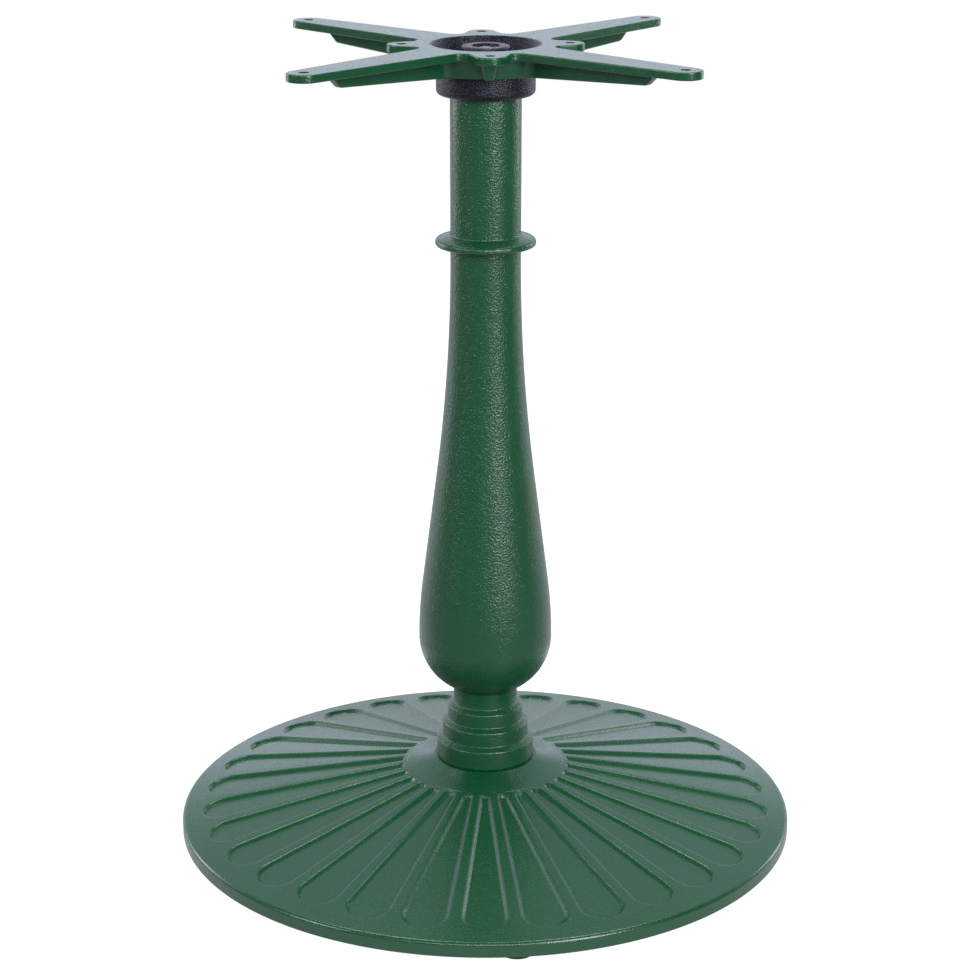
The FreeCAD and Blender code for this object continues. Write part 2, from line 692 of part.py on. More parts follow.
bore = new_sketch(spider, "bore_profile", "XZ_Plane")
closed_outline(bore, [
    (None, "column_top"),
    ("ledge_inner_radius", "column_top"),
    ("ledge_inner_radius", "ledge_height"),
    ("ledge_outer_radius", "ledge_height"),
    ("opening_radius", "opening_round_z"),
    ("opening_round_r", "top_height"),
    (None, "top_height"),
], {4: ("opening_round", -1)})
revolve(spider, "hub_bore", bore, cut=True)

arm_hole = new_sketch(spider, "arm_hole_outline", "XY_Plane", "top_height")
disc(arm_hole, "arm_hole_radius", "arm_hole_circle", None)
arm_hole_cut = pocket(spider, "arm_hole", arm_hole)
ring_of(spider, "arm_holes", [arm_hole_cut], "4")
lug_hole = new_sketch(spider, "lug_hole_outline", "XY_Plane", "top_height")
lug_hole.AttachmentOffset = Placement(Vector(0, 0, val("top_height")), Rotation(Vector(0, 0, 1), 45))
disc(lug_hole, "lug_hole_radius", "lug_hole_circle", None)
lug_hole_cut = pocket(spider, "lug_hole", lug_hole)
ring_of(spider, "lug_holes", [lug_hole_cut], "4")
turn(spider, "spider_turn")

# Clamp dish: cone on the spider's ledge, tall boss with a hex pocket
dish = new_body("clamp_dish")
profile = new_sketch(dish, "dish_profile", "XZ_Plane")
closed_outline(profile, [
    ("rod_hole_radius", "ledge_height"),
    ("dish_foot_r", "ledge_height"),
    ("dish_lip_r", "dish_lip"),
    ("dish_lip_inner", "dish_lip"),
    ("dish_floor_r", "dish_floor_z"),
    ("boss_foot_r", "dish_floor_z"),
    ("boss_radius", "boss_round_z"),
    ("boss_round_r", "boss_top"),
    ("rod_hole_radius", "boss_top"),
], {6: ("boss_round", 1)})
revolve(dish, "dish_casting", profile)
hex_sketch = new_sketch(dish, "pocket_outline", "XY_Plane", "boss_top")
hexagon(hex_sketch, "pocket_width")
pocket(dish, "nut_pocket", hex_sketch, "pocket_depth")

# Tie rod, chamfered at both ends
rod = new_body("tie_rod")
profile = new_sketch(rod, "rod_profile", "XZ_Plane")
closed_outline(profile, [
    (None, "rod_foot"),
    ("rod_tip_radius", "rod_foot"),
    ("rod_radius", "rod_foot_wall"),
    ("rod_radius", "rod_top_wall"),
    ("rod_tip_radius", "rod_top"),
    (None, "rod_top"),
], {})
revolve(rod, "rod_bar", profile)


def nut(name, foot):
    """A hexagon nut on the rod, its lower face at a named height."""
    body = new_body(name)
    sketch = new_sketch(body, name + "_outline", "XY_Plane", foot)
    hexagon(sketch, "nut_width")
    pad(body, name + "_block", sketch, "nut_height")
    thread = new_sketch(body, name + "_thread", "XY_Plane", foot)
    disc(thread, "thread_bore")
    pocket(body, name + "_bore", thread, upward=True)
    return body


def washer(name, foot, radius, height):
    """A flat ring round the rod."""
    body = new_body(name)
    sketch = new_sketch(body, name + "_outline", "XY_Plane", foot)
    disc(sketch, radius)
    disc(sketch, "rod_hole_radius")
    pad(body, name + "_ring", sketch, height)
    return body


nodes = [base, column, cap, spider, dish, rod]
nodes.append(nut("upper_nut", "pocket_floor"))
nodes.append(washer("lower_washer", "washer_foot", "washer_radius", "washer_height"))
nodes.append(washer("spring_washer", "spring_washer_foot", "spring_washer_radius", "spring_washer_height"))
nodes.append(nut("lower_nut", "lower_nut_foot"))


def on_glide_circle(body, number):
    """Stands a body over one glide position of the turned plate."""
    angle = "(sizes.base_turn + %d)" % (90 * number)
    turned = math.radians(val("base_turn") + 90 * number)
    radius = val("glide_circle_radius")
    body.Placement = Placement(Vector(radius * math.cos(turned), radius * math.sin(turned), 0), Rotation())
    body.setExpression("Placement.Base.x", "sizes.glide_circle_radius * cos(%s)" % angle)
    body.setExpression("Placement.Base.y", "sizes.glide_circle_radius * sin(%s)" % angle)


# Glides: round pads under the bosses, each with a recessed screw
screws = []
for number in range(4):
    glide = new_body("glide_%d" % (number + 1))
    profile = new_sketch(glide, "glide_profile_%d" % (number + 1), "XZ_Plane")
    closed_outline(profile, [
        ("screw_bore_radius", "screw_recess_depth"),
        ("screw_recess_radius", "screw_recess_depth"),
        ("screw_recess_radius", None),
        ("glide_flat_radius", None),
        ("glide_radius", "glide_foot_round"),
        ("glide_radius", "glide_wall_top"),
        ("glide_top_radius", "glide_height"),
        ("screw_bore_radius", "glide_height"),
    ], {3: ("glide_foot_round", 1), 5: ("glide_top_round", 1)})
    revolve(glide, "glide_pad_%d" % (number + 1), profile)
    on_glide_circle(glide, number)
    nodes.append(glide)
    screw = new_body("glide_screw_%d" % (number + 1))
    profile = new_sketch(screw, "screw_profile_%d" % (number + 1), "XZ_Plane")
    closed_outline(profile, [
        (None, "screw_head_foot"),
        ("screw_head_radius", "screw_head_foot"),
        ("screw_head_radius", "screw_recess_depth"),
        ("screw_radius", "screw_recess_depth"),
        ("screw_radius", "screw_tip"),
        (None, "screw_tip"),
    ], {})
    revolve(screw, "screw_blank_%d" % (number + 1), profile)
    on_glide_circle(screw, number)
    screws.append(screw)
doc.recompute()

group = doc.addObject("Part::Compound", "glide_screws")
group.Links = screws
nodes.append(group)
doc.recompute()

# Every feature has rebuilt and every solid is sound before anything is written
for item in doc.Objects:
    if "Invalid" in item.State or "Error" in item.State:
        raise RuntimeError("%s did not rebuild: %s" % (item.Name, item.State))
for node in nodes:
    if node.Shape.isNull() or not node.Shape.isValid():
        raise RuntimeError("%s has no sound shape" % node.Name)
    print("%-14s solids %d volume %.0f box %s" % (node.Name, len(node.Shape.Solids), node.Shape.Volume,
                                               node.Shape.BoundBox))

os.makedirs("parts", exist_ok=True)
for node in nodes:
    node.Shape.exportStep("parts/%s.step" % node.Name)
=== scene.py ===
"""Looks of a pedestal table base: fluted plate, baluster column and four-armed spider.

The sub-assemblies hold their sizes in millimetres and degrees, as the part's source does. The finishes,
the lights and the camera are in metres. The base stands on the floor with its column along Z.
"""

from __future__ import annotations

import logging
import math
from dataclasses import dataclass, replace
from enum import Enum
from functools import cached_property
from typing import Sequence, Union

import bpy
import numpy as np
from mathutils import Euler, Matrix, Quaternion, Vector
from mathutils.geometry import delaunay_2d_cdt

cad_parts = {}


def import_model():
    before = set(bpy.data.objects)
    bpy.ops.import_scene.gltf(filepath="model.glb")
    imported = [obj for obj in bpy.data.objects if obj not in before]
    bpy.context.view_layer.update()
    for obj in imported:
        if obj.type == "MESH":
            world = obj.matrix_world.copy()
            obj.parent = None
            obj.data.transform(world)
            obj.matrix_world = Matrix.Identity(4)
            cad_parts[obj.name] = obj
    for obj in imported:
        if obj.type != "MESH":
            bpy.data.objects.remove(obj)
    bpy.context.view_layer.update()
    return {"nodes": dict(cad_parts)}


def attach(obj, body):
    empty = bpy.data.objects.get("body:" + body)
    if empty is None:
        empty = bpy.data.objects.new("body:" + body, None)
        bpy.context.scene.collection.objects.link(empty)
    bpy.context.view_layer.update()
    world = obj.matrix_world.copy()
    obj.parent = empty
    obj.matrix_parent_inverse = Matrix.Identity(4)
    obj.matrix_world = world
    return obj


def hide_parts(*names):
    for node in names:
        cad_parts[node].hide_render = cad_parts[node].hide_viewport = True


LOG = logging.getLogger("pedestal")
MM = 0.001
FULL = 2 * math.pi
ARMS = 4  # arms, lugs and glides all come in fours
ARM_CIRCLE = 213.7  # radius of the circle of holes in the arms
LUG_CIRCLE = 71.3  # radius of the circle of holes in the lugs
ROD_HOLE = 6.6  # radius of the holes that the tie rod passes
BITE = 0.05  # how far a fillet's end reaches into the face that it meets

Colour = tuple[float, float, float]
Pair = tuple[float, float]


# Plain curves


def arc(cx: float, cy: float, radius: float, start: float, end: float, count: int) -> np.ndarray:
    """Points on an arc: the centre plus the radius times (cos t, sin t).

    Args:
        cx, cy: The centre.
        radius: The arc's radius.
        start, end: First and last angle, in degrees.
        count: How many points.

    Returns:
        An array (count, 2).
    """
    t = np.radians(np.linspace(start, end, count))
    return np.column_stack([cx + radius * np.cos(t), cy + radius * np.sin(t)])


def circle(radius: float, count: int, cx: float = 0.0, cy: float = 0.0) -> np.ndarray:
    """Points in equal turns on a full circle.

    Args:
        radius: The circle's radius.
        count: How many points.
        cx, cy: The centre.

    Returns:
        An array (count, 2), anticlockwise, the first point not repeated.
    """
    t = np.arange(count) * FULL / count
    return np.column_stack([cx + radius * np.cos(t), cy + radius * np.sin(t)])


def rounded(corners: Sequence[tuple[float, float, float]], steps: int = 6) -> np.ndarray:
    """An open path whose corners are rounded.

    Each corner gives way to the arc that touches both of its sides. One more point on each side, close
    to the arc, keeps the smooth shading of the corner from spreading over the flats.

    Args:
        corners: Points as (x, y, corner radius); a radius of 0 keeps the corner.
        steps: How many points each rounded corner gets.

    Returns:
        An array (n, 2).
    """
    longest_cut, guard, guard_share, straight = 0.45, 0.35, 0.04, 1e-3
    path = np.array([c[:2] for c in corners], float)
    out = [path[:1]]
    for k in range(1, len(path) - 1):
        radius = corners[k][2]
        before, after = path[k - 1] - path[k], path[k + 1] - path[k]
        a, b = np.linalg.norm(before), np.linalg.norm(after)
        u, v = before / a, after / b
        half = math.acos(float(np.clip(u @ v, -1, 1))) / 2
        if radius <= 0 or half > math.pi / 2 - straight:
            out.append(path[k : k + 1])
            continue
        back = min(radius / math.tan(half), longest_cut * a, longest_cut * b)
        radius = back * math.tan(half)
        middle = path[k] + (u + v) / np.linalg.norm(u + v) * radius / math.sin(half)
        first, last = path[k] + u * back - middle, path[k] + v * back - middle
        t0 = math.atan2(first[1], first[0])
        turn = (math.atan2(last[1], last[0]) - t0 + math.pi) % FULL - math.pi
        t = t0 + turn * np.linspace(0, 1, steps)
        bow = middle + radius * np.column_stack([np.cos(t), np.sin(t)])
        ahead, behind = u * min(guard, guard_share * a), v * min(guard, guard_share * b)
        out += [bow[:1] + ahead, bow, bow[-1:] + behind]
    out.append(path[-1:])
    return np.vstack(out)


def split_long(path: np.ndarray, longest: float) -> np.ndarray:
    """The path with points added, in equal parts, so that no step is longer than a length.

    Args:
        path: An array (n, 2).
        longest: The longest step allowed.

    Returns:
        An array (m, 2), m >= n.
    """
    steps = np.linalg.norm(np.diff(path, axis=0), axis=1)
    pieces = np.maximum(np.ceil(steps / longest).astype(int), 1)
    start = np.repeat(np.arange(len(steps)), pieces)
    along = np.arange(len(start)) - np.repeat(np.cumsum(pieces) - pieces, pieces)
    share = (along / pieces[start])[:, None]
    return np.vstack([path[start] * (1 - share) + path[start + 1] * share, path[-1:]])


def between(first: np.ndarray, last: np.ndarray, count: int) -> np.ndarray:
    """Points in equal steps on the line between two points, without its ends.

    Args:
        first, last: The ends (2,).
        count: How many points.

    Returns:
        An array (count, 2).
    """
    share = np.linspace(0, 1, count + 2)[1:-1, None]
    return first * (1 - share) + last * share


def at_height(flat: np.ndarray, z: float) -> np.ndarray:
    """Plan points lifted to one height.

    Args:
        flat: An array (n, 2).
        z: The height.

    Returns:
        An array (n, 3).
    """
    return np.column_stack([flat, np.full(len(flat), z)])


# Surfaces


@dataclass
class Grid:
    """A surface of points in rows and columns, in millimetres.

    Args:
        points: An array (rows, columns, 3).
        wrap_rows: Whether the last row joins the first.
        wrap_columns: Whether the last column joins the first.
    """

    points: np.ndarray
    wrap_rows: bool = False
    wrap_columns: bool = False

    def faces(self) -> np.ndarray:
        """Quads between neighbouring rows and columns.

        Returns:
            Indices (n, 4) into the points in row order.
        """
        rows, columns = self.points.shape[:2]
        index = np.arange(rows * columns).reshape(rows, columns)
        if self.wrap_rows:
            index = np.vstack([index, index[:1]])
        if self.wrap_columns:
            index = np.hstack([index, index[:, :1]])
        quads = [index[:-1, :-1], index[:-1, 1:], index[1:, 1:], index[1:, :-1]]
        return np.stack(quads, -1).reshape(-1, 4)

    def turned(self, angle: float, x: float = 0.0, y: float = 0.0) -> Grid:
        """A copy moved by (x, y), then turned about Z.

        Args:
            angle: The turn in radians.
            x, y: The move before the turn.

        Returns:
            The new grid.
        """
        c, s = math.cos(angle), math.sin(angle)
        p = self.points + np.array([x, y, 0.0])
        turn = np.array([[c, s, 0], [-s, c, 0], [0, 0, 1]])
        return Grid(p @ turn, self.wrap_rows, self.wrap_columns)


@dataclass
class Cap:
    """A flat level face with holes, in millimetres.

    Args:
        loops: Closed loops of points (n, 2); the first is the outer edge.
        z: The height of the face.
    """

    loops: list[np.ndarray]
    z: float

    def build(self) -> tuple[np.ndarray, list[list[int]]]:
        """Fills the face with triangles between its loops.

        A triangle stays where a ray from its middle along X crosses the loops an odd number of times.

        Returns:
            Points (n, 3) and faces as lists of indices.
        """
        merge = 1e-5
        flat = np.vstack(self.loops)
        edges, base = [], 0
        for loop in self.loops:
            ring = np.arange(len(loop)) + base
            edges.append(np.column_stack([ring, np.roll(ring, -1)]))
            base += len(loop)
        corners = [Vector(p) for p in flat]
        made = delaunay_2d_cdt(corners, np.vstack(edges).tolist(), [], 1, merge)
        points = np.array([(p[0], p[1], self.z) for p in made[0]])
        faces = np.array(made[2])
        middle = points[faces].mean(1)
        crossings = np.zeros(len(faces), int)
        for loop in self.loops:
            a, b = loop[None], np.roll(loop, -1, 0)[None]
            x, y = middle[:, :1], middle[:, 1:2]
            spans = (a[..., 1] > y) != (b[..., 1] > y)
            run = np.where(spans, b[..., 1] - a[..., 1], 1.0)
            at = a[..., 0] + (y - a[..., 1]) * (b[..., 0] - a[..., 0]) / run
            crossings += (spans & (at > x)).sum(1)
        return points, faces[crossings % 2 == 1].tolist()


Surface = Union[Grid, Cap]


def lathe(profile: np.ndarray, segments: int, closed: bool = False) -> Grid:
    """A profile turned about the Z axis: x = r cos t, y = r sin t, z as in the profile.

    Args:
        profile: Points (n, 2) as (radius, height).
        segments: How many columns go round.
        closed: Whether the profile's end joins its start.

    Returns:
        The turned surface.
    """
    t = np.arange(segments) * FULL / segments
    r = profile[:, :1]
    z = np.broadcast_to(profile[:, 1:], (len(profile), segments))
    return Grid(np.stack([r * np.cos(t), r * np.sin(t), z], -1), closed, True)


def loop_sweep(loop: np.ndarray, section: np.ndarray) -> Grid:
    """A closed outline swept with a section: each point moves along its inward normal by the inset.

    Args:
        loop: The outline (n, 2), anticlockwise.
        section: Points (m, 2) as (inset into the outline, height).

    Returns:
        The swept surface.
    """
    along = np.roll(loop, -1, 0) - np.roll(loop, 1, 0)
    along /= np.linalg.norm(along, axis=1)[:, None]
    inward = np.column_stack([-along[:, 1], along[:, 0]])
    flat = loop[None] + section[:, None, :1] * inward[None]
    z = np.broadcast_to(section[:, None, 1:], flat.shape[:2] + (1,))
    return Grid(np.concatenate([flat, z], -1), False, True)


# Finishes


class Grain(Enum):
    """How a coat's surface is textured: noise scale per metre and bump depth in metres."""

    LEATHER = (600.0, 0.0008)
    PEEL = (640.0, 0.0002)
    CAST = (640.0, 0.0004)
    SAND = (800.0, 0.0009)
    PLATED = (1800.0, 0.00002)
    MOULDED = (900.0, 0.00004)


class Wire:
    """A shader socket that takes part in plain arithmetic."""

    def __init__(self, socket: bpy.types.NodeSocket) -> None:
        """Wraps a socket of any node tree."""
        self.socket = socket
        self.tree = socket.id_data

    def node(
        self, kind: str, out: str | int = 0, settings: dict | None = None, **inputs: object
    ) -> Wire:
        """Adds any node to this wire's tree.

        Args:
            kind: The node's type name.
            out: The output that is returned.
            settings: Attributes set on the node before its inputs.
            inputs: Values or wires, by input name with underscores for spaces, or by place as i0, i1.

        Returns:
            The wire of the chosen output.
        """
        made = self.tree.nodes.new(kind)
        for key, value in (settings or {}).items():
            setattr(made, key, value)
        for key, value in inputs.items():
            by_place = key[0] == "i" and key[1:].isdigit()
            slot = made.inputs[int(key[1:]) if by_place else key.replace("_", " ")]
            if isinstance(value, Wire):
                self.tree.links.new(value.socket, slot)
            else:
                slot.default_value = value
        return Wire(made.outputs[out])

    def ramp(self, start: float, end: float, low: float = 0.0, high: float = 1.0) -> Wire:
        """A clamped straight ramp of this value.

        Args:
            start, end: The values at which the ramp begins and ends.
            low, high: What it gives there.

        Returns:
            The ramp's wire.
        """
        kind = "ShaderNodeMapRange"
        return self.node(
            kind, 0, Value=self, From_Min=start, From_Max=end, To_Min=low, To_Max=high
        )

    def blend(self, first: Colour | Wire, last: Colour | Wire) -> Wire:
        """A colour between two, by this value.

        Args:
            first, last: The colours at 0 and at 1, as linear RGB or wires.

        Returns:
            The mixed colour's wire.
        """
        a, b = (c if isinstance(c, Wire) else (*c, 1.0) for c in (first, last))
        return self.node("ShaderNodeMix", 2, {"data_type": "RGBA"}, i0=self, i6=a, i7=b)

    def vector(self, operation: str, out: str | int = 0, **inputs: object) -> Wire:
        """A Vector Math node on this vector.

        Args:
            operation: The node's operation.
            out: The output that is returned.
            inputs: Its other inputs, as node takes them.

        Returns:
            The wire of the chosen output.
        """
        return self.node("ShaderNodeVectorMath", out, {"operation": operation}, i0=self, **inputs)

    def at_least(self, least: float) -> Wire:
        """The greater of this value and a number."""
        return self._math("MAXIMUM", self, least)

    def _math(self, operation: str, a: object, b: object) -> Wire:
        """A Math node on two values or wires."""
        return self.node("ShaderNodeMath", 0, {"operation": operation}, i0=a, i1=b)

    def __add__(self, other: object) -> Wire:
        """This value plus another."""
        return self._math("ADD", self, other)

    def __radd__(self, other: object) -> Wire:
        """Another value plus this one."""
        return self._math("ADD", other, self)

    def __sub__(self, other: object) -> Wire:
        """This value less another."""
        return self._math("SUBTRACT", self, other)

    def __rsub__(self, other: object) -> Wire:
        """Another value less this one."""
        return self._math("SUBTRACT", other, self)

    def __mul__(self, other: object) -> Wire:
        """This value times another."""
        return self._math("MULTIPLY", self, other)

    def __rmul__(self, other: object) -> Wire:
        """Another value times this one."""
        return self._math("MULTIPLY", other, self)

    def __truediv__(self, other: object) -> Wire:
        """This value divided by another."""
        return self._math("DIVIDE", self, other)

    def __rtruediv__(self, other: object) -> Wire:
        """Another value divided by this one."""
        return self._math("DIVIDE", other, self)

    def __pow__(self, other: object) -> Wire:
        """This value raised to a power."""
        return self._math("POWER", self, other)


@dataclass(frozen=True)
class Finish:
    """A coat or uncoated surface.

    Args:
        name: Material name.
        slot: The record's material slot. Not used by this script.
        deep: Colour in the hollows of the grain, linear RGB.
        light: Colour on the crests of the grain, linear RGB.
        rough: Mean roughness.
        grain: The surface's texture.
        metallic: 1 for uncoated metal.
        coat: Clear coat weight.
        coat_rough: The clear coat's roughness.
        shine: Specular level.
        rough_spread: How far the grain moves the roughness.
        mottle: Scale per metre of the broad, slow noise.
        holes: Screw holes in the quarter with X and Y positive, whose walls get a painted shade.
        hole_wall: Distance from a hole's axis within which the painted shade is full.
        hole_fade: The distance at which the painted shade has faded out, as a share of hole_wall.
        hole_shade_colour: Colour of the painted shade on a hole's wall.
    """

    name: str
    slot: str
    deep: Colour
    light: Colour
    rough: float
    grain: Grain
    metallic: float = 0.0
    coat: float = 0.0
    coat_rough: float = 0.1
    shine: float = 0.5
    rough_spread: float = 0.16
    mottle: float = 14.0
    holes: tuple[Pair, ...] = ()
    hole_wall: float = 0.0042
    hole_fade: float = 1.08
    hole_shade_colour: Colour = (0.0012, 0.0022, 0.0018)

    @cached_property
    def material(self) -> bpy.types.Material:
        """The shader, built when it is first used.

        Fine and broad noise together lift the bump and lead the colour from deep to light. A painted
        shade darkens the walls of the holes, which are found by their distance in plan, with X and Y
        folded into one quarter.

        Returns:
            The new material.
        """
        made = bpy.data.materials.new(self.name)
        made.use_nodes = True
        tree = made.node_tree
        tree.nodes.clear()
        spot = Wire(tree.nodes.new("ShaderNodeTexCoord").outputs["Object"])
        scale, depth = self.grain.value
        noise = "ShaderNodeTexNoise"
        fine_lift, broad_lift = 0.8, 0.2
        fine_tint, broad_tint, mean_tint = 0.7, 0.5, 0.15
        fine = spot.node(noise, "Fac", Vector=spot, Scale=scale, Detail=2.0, Roughness=0.45)
        broad = spot.node(noise, "Fac", Vector=spot, Scale=self.mottle, Detail=2.0)
        height = fine * fine_lift + broad_lift * broad
        share = fine * fine_tint + (broad - 0.5) * broad_tint + mean_tint
        colour = share.blend(self.deep, self.light)
        if self.holes:
            level = spot.vector("ABSOLUTE").vector("MULTIPLY", i1=(1.0, 1.0, 0.0))
            for x, y in self.holes:
                away = level.vector("DISTANCE", "Value", i1=(x, y, 0.0))
                # Painted shade: near each hole's axis the colour turns to the dark shade colour.
                shade_weight = away.ramp(self.hole_wall, self.hole_fade * self.hole_wall, 1.0, 0.0)
                colour = shade_weight.blend(colour, self.hole_shade_colour)
        normal = spot.node("ShaderNodeBump", 0, Strength=1.0, Distance=depth, Height=height)
        surface = spot.node(
            "ShaderNodeBsdfPrincipled",
            0,
            Base_Color=colour,
            Roughness=self.rough + (fine - 0.5) * self.rough_spread,
            Metallic=self.metallic,
            Specular_IOR_Level=self.shine,
            Coat_Weight=self.coat,
            Coat_Roughness=self.coat_rough,
            Normal=normal,
        )
        out = tree.nodes.new("ShaderNodeOutputMaterial")
        tree.links.new(surface.socket, out.inputs["Surface"])
        return made


ARM_HOLE_AT = ARM_CIRCLE * math.sqrt(0.5) * MM
LUG_HOLE_AT = LUG_CIRCLE * MM

GREEN = Finish(
    name="green_powder_coat",
    slot="green_coat",
    deep=(0.0026, 0.063, 0.022),
    light=(0.0036, 0.084, 0.030),
    rough=0.24,
    coat=0.12,
    shine=0.75,
    grain=Grain.LEATHER,
)
PLATE = replace(GREEN, name="green_plate_coat", rough=0.26, grain=Grain.PEEL)
# The spider's coat paints shade on the walls of its screw holes.
SPIDER = replace(
    GREEN,
    name="green_spider_coat",
    grain=Grain.CAST,
    holes=((ARM_HOLE_AT, ARM_HOLE_AT), (LUG_HOLE_AT, 0.0), (0.0, LUG_HOLE_AT)),
)
BLACK = Finish(
    name="black_textured_coat",
    slot="black_coat",
    deep=(0.003, 0.003, 0.011),
    light=(0.007, 0.007, 0.021),
    rough=0.26,
    shine=0.42,
    grain=Grain.SAND,
)
ZINC = Finish(
    name="zinc_plate",
    slot="zinc_steel",
    deep=(0.42, 0.42, 0.43),
    light=(0.52, 0.52, 0.53),
    rough=0.34,
    metallic=1.0,
    grain=Grain.PLATED,
)
NYLON = Finish(
    name="black_nylon",
    slot="black_nylon",
    deep=(0.010, 0.010, 0.011),
    light=(0.016, 0.016, 0.017),
    rough=0.5,
    grain=Grain.MOULDED,
)


# Pieces


def make_object(name: str, parts: Sequence[Surface], finish: Finish) -> bpy.types.Object:
    """One mesh object from several surfaces, at the origin, in metres.

    Args:
        name: The object's name.
        parts: Its surfaces, facing outward.
        finish: Its finish.

    Returns:
        The linked object, smooth shaded.
    """
    points, faces, base = [], [], 0
    for part in parts:
        if isinstance(part, Grid):
            p, f = part.points.reshape(-1, 3), (part.faces() + base).tolist()
        else:
            p, f = part.build()
            f = [[i + base for i in face] for face in f]
        points.append(p)
        faces.extend(f)
        base += len(p)
    mesh = bpy.data.meshes.new(name)
    mesh.from_pydata((np.vstack(points) * MM).tolist(), [], faces)
    mesh.polygons.foreach_set("use_smooth", np.ones(len(mesh.polygons), bool))
    mesh.materials.append(finish.material)
    mesh.validate()
    obj = bpy.data.objects.new(name, mesh)
    bpy.context.scene.collection.objects.link(obj)
    LOG.info("%s: %d faces", name, len(mesh.polygons))
    return obj


def place(name: str, parts: Sequence[Surface], finish: Finish, node: str) -> None:
    """Adds one dressed piece that stands for a CAD node.

    Args:
        name: The piece's name.
        parts: Its surfaces.
        finish: Its finish.
        node: The CAD node it replaces.
    """
    obj = make_object(name, parts, finish)
    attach(obj, "root")
    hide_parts(node)


# Sub-assemblies


@dataclass(frozen=True)
class FlutedPlate:
    """The round cast plate with its ring of flutes."""

    # the cone, and the flare up to the seat of the column
    rim: float = 277.79
    apex: float = 77.33
    slope: float = 0.207084
    hub: float = 75.0
    seat_r: float = 46.5
    seat_z: float = 71.0
    seat_round: float = 0.6
    # flutes in plan
    count: int = 30
    turn: float = 3.13
    half_angle: float = 5.4
    sides_meet: float = 35.0
    inner_round: float = 2.8
    tip: float = 258.7
    inner_edge: float = 71.6
    outer_edge: float = 265.5
    # flutes in section
    depth: float = 2.8
    wall_angle: float = 41.0
    top_round: float = 3.8
    floor_round: float = 0.4
    floor_edge: float = -2.4
    floor_run: float = 0.3
    land_edge: float = 2.6
    inner_steepness: float = 0.3
    outer_steepness: float = 0.6
    # points along a flute's loop: inner corner, straight side, round end, inner edge
    corner_points: int = 7
    side_points: int = 12
    end_points: int = 33
    inner_points: int = 4
    # rim and underside
    rim_round: float = 3.6
    foot: float = 7.0
    foot_width: float = 7.5
    foot_draft: float = 1.0
    wall: float = 8.0
    under_round: float = 3.0
    hub_boss: float = 36.0
    hub_boss_foot: float = 34.0
    hub_boss_z: float = 40.0
    spigot: float = 22.0
    spigot_top: float = 77.0
    tuck: float = 0.4
    sink: float = 0.02
    # bosses that take the glides
    boss_circle: float = 254.0
    boss: float = 14.0
    boss_foot: float = 8.5
    boss_top: float = 20.0
    screw_hole: float = 2.1

    def cone(self, r: np.ndarray | float) -> np.ndarray | float:
        """Height of the cone at a radius: the apex less the slope times the radius."""
        return self.apex - self.slope * r

    def on_cone(self, flat: np.ndarray, drop: float) -> np.ndarray:
        """Plan points (n, 2) put on the cone, then moved by a height, as points (n, 3)."""
        return np.column_stack([flat, self.cone(np.hypot(flat[:, 0], flat[:, 1])) + drop])

    def end_centre(self) -> float:
        """Distance from the axis to the centre of a flute's round outer end."""
        widening = 1 + math.sin(math.radians(self.half_angle))
        return self.sides_meet + (self.tip - self.sides_meet) / widening

    def flute_loop(self, grow: float) -> np.ndarray:
        """Plan outline of the flute along +X, grown outward by a length.

        Two straight sides meet at half_angle, a round end touches both, and the inner end is a
        straight edge with round corners. The ends grow less than the sides, so their walls are
        steeper.

        Args:
            grow: The offset from the nominal outline, negative inward.

        Returns:
            Points (n, 2), anticlockwise from the right side's inner corner.
        """
        half = math.radians(self.half_angle)
        s, c = math.sin(half), math.cos(half)
        centre = self.end_centre()
        end = self.tip - centre
        corner = self.inner_round
        inner_x = self.hub + corner + self.inner_steepness * grow
        inner_y = ((inner_x - self.sides_meet) * s - corner) / c
        low_end, high_end = -90 + self.half_angle, 90 - self.half_angle
        tip = arc(0, 0, end + grow, low_end, high_end, self.end_points)
        bend = np.cos(np.linspace(-math.pi / 2, math.pi / 2, self.end_points))
        held = (1 - self.outer_steepness) * grow
        tip[:, 0] += centre - held * np.maximum(bend, 0) ** 2
        turn = 270 + self.half_angle
        low = arc(inner_x, -inner_y, corner + grow, 180, turn, self.corner_points)
        high = low[::-1] * [1, -1]
        right = between(low[-1], tip[0], self.side_points)
        left = right[::-1] * [1, -1]
        return np.vstack(
            [low, right, tip, left, high, between(high[-1], low[0], self.inner_points)]
        )

    def sector_edge(self, loop: np.ndarray) -> np.ndarray:
        """Points on the border of the flute's sector of the plate, one for each point of its loop.

        The sides go out to the border at the same radius. The round end spreads over the border's
        corner and outer edge, and the inner corners and edge over its inner edge.

        Args:
            loop: The flute's loop (n, 2).

        Returns:
            Points (n, 2).
        """
        half = math.pi / self.count
        r = np.hypot(loop[:, 0], loop[:, 1])
        out_r = r.copy()
        out_t = np.sign(np.arctan2(loop[:, 1], loop[:, 0])) * half
        first = self.corner_points + self.side_points
        tip = slice(first, first + self.end_points)
        bend = np.degrees(np.arctan2(loop[tip, 1], loop[tip, 0] - self.end_centre()))
        side = np.abs(bend) / (90 - self.half_angle)
        start = r[tip][0]
        climb = start + (1 - side) * 2 * (self.outer_edge - start)
        out_r[tip] = np.where(side > 0.5, climb, self.outer_edge)
        out_t[tip] = np.sign(bend) * half * np.minimum(side * 2, 1)
        inner = len(loop) - self.inner_points
        low, high = slice(0, self.corner_points), slice(inner - self.corner_points, inner)
        share = np.linspace(0, 1, self.corner_points)
        out_r[low] = self.inner_edge + share * (r[low][-1] - self.inner_edge)
        out_r[high] = self.inner_edge + share[::-1] * (r[high][0] - self.inner_edge)
        out_r[inner:] = self.inner_edge
        out_t[low], out_t[high] = -half, half
        out_t[inner:] = half * np.linspace(1, -1, self.inner_points + 2)[1:-1]
        return np.column_stack([out_r * np.cos(out_t), out_r * np.sin(out_t)])

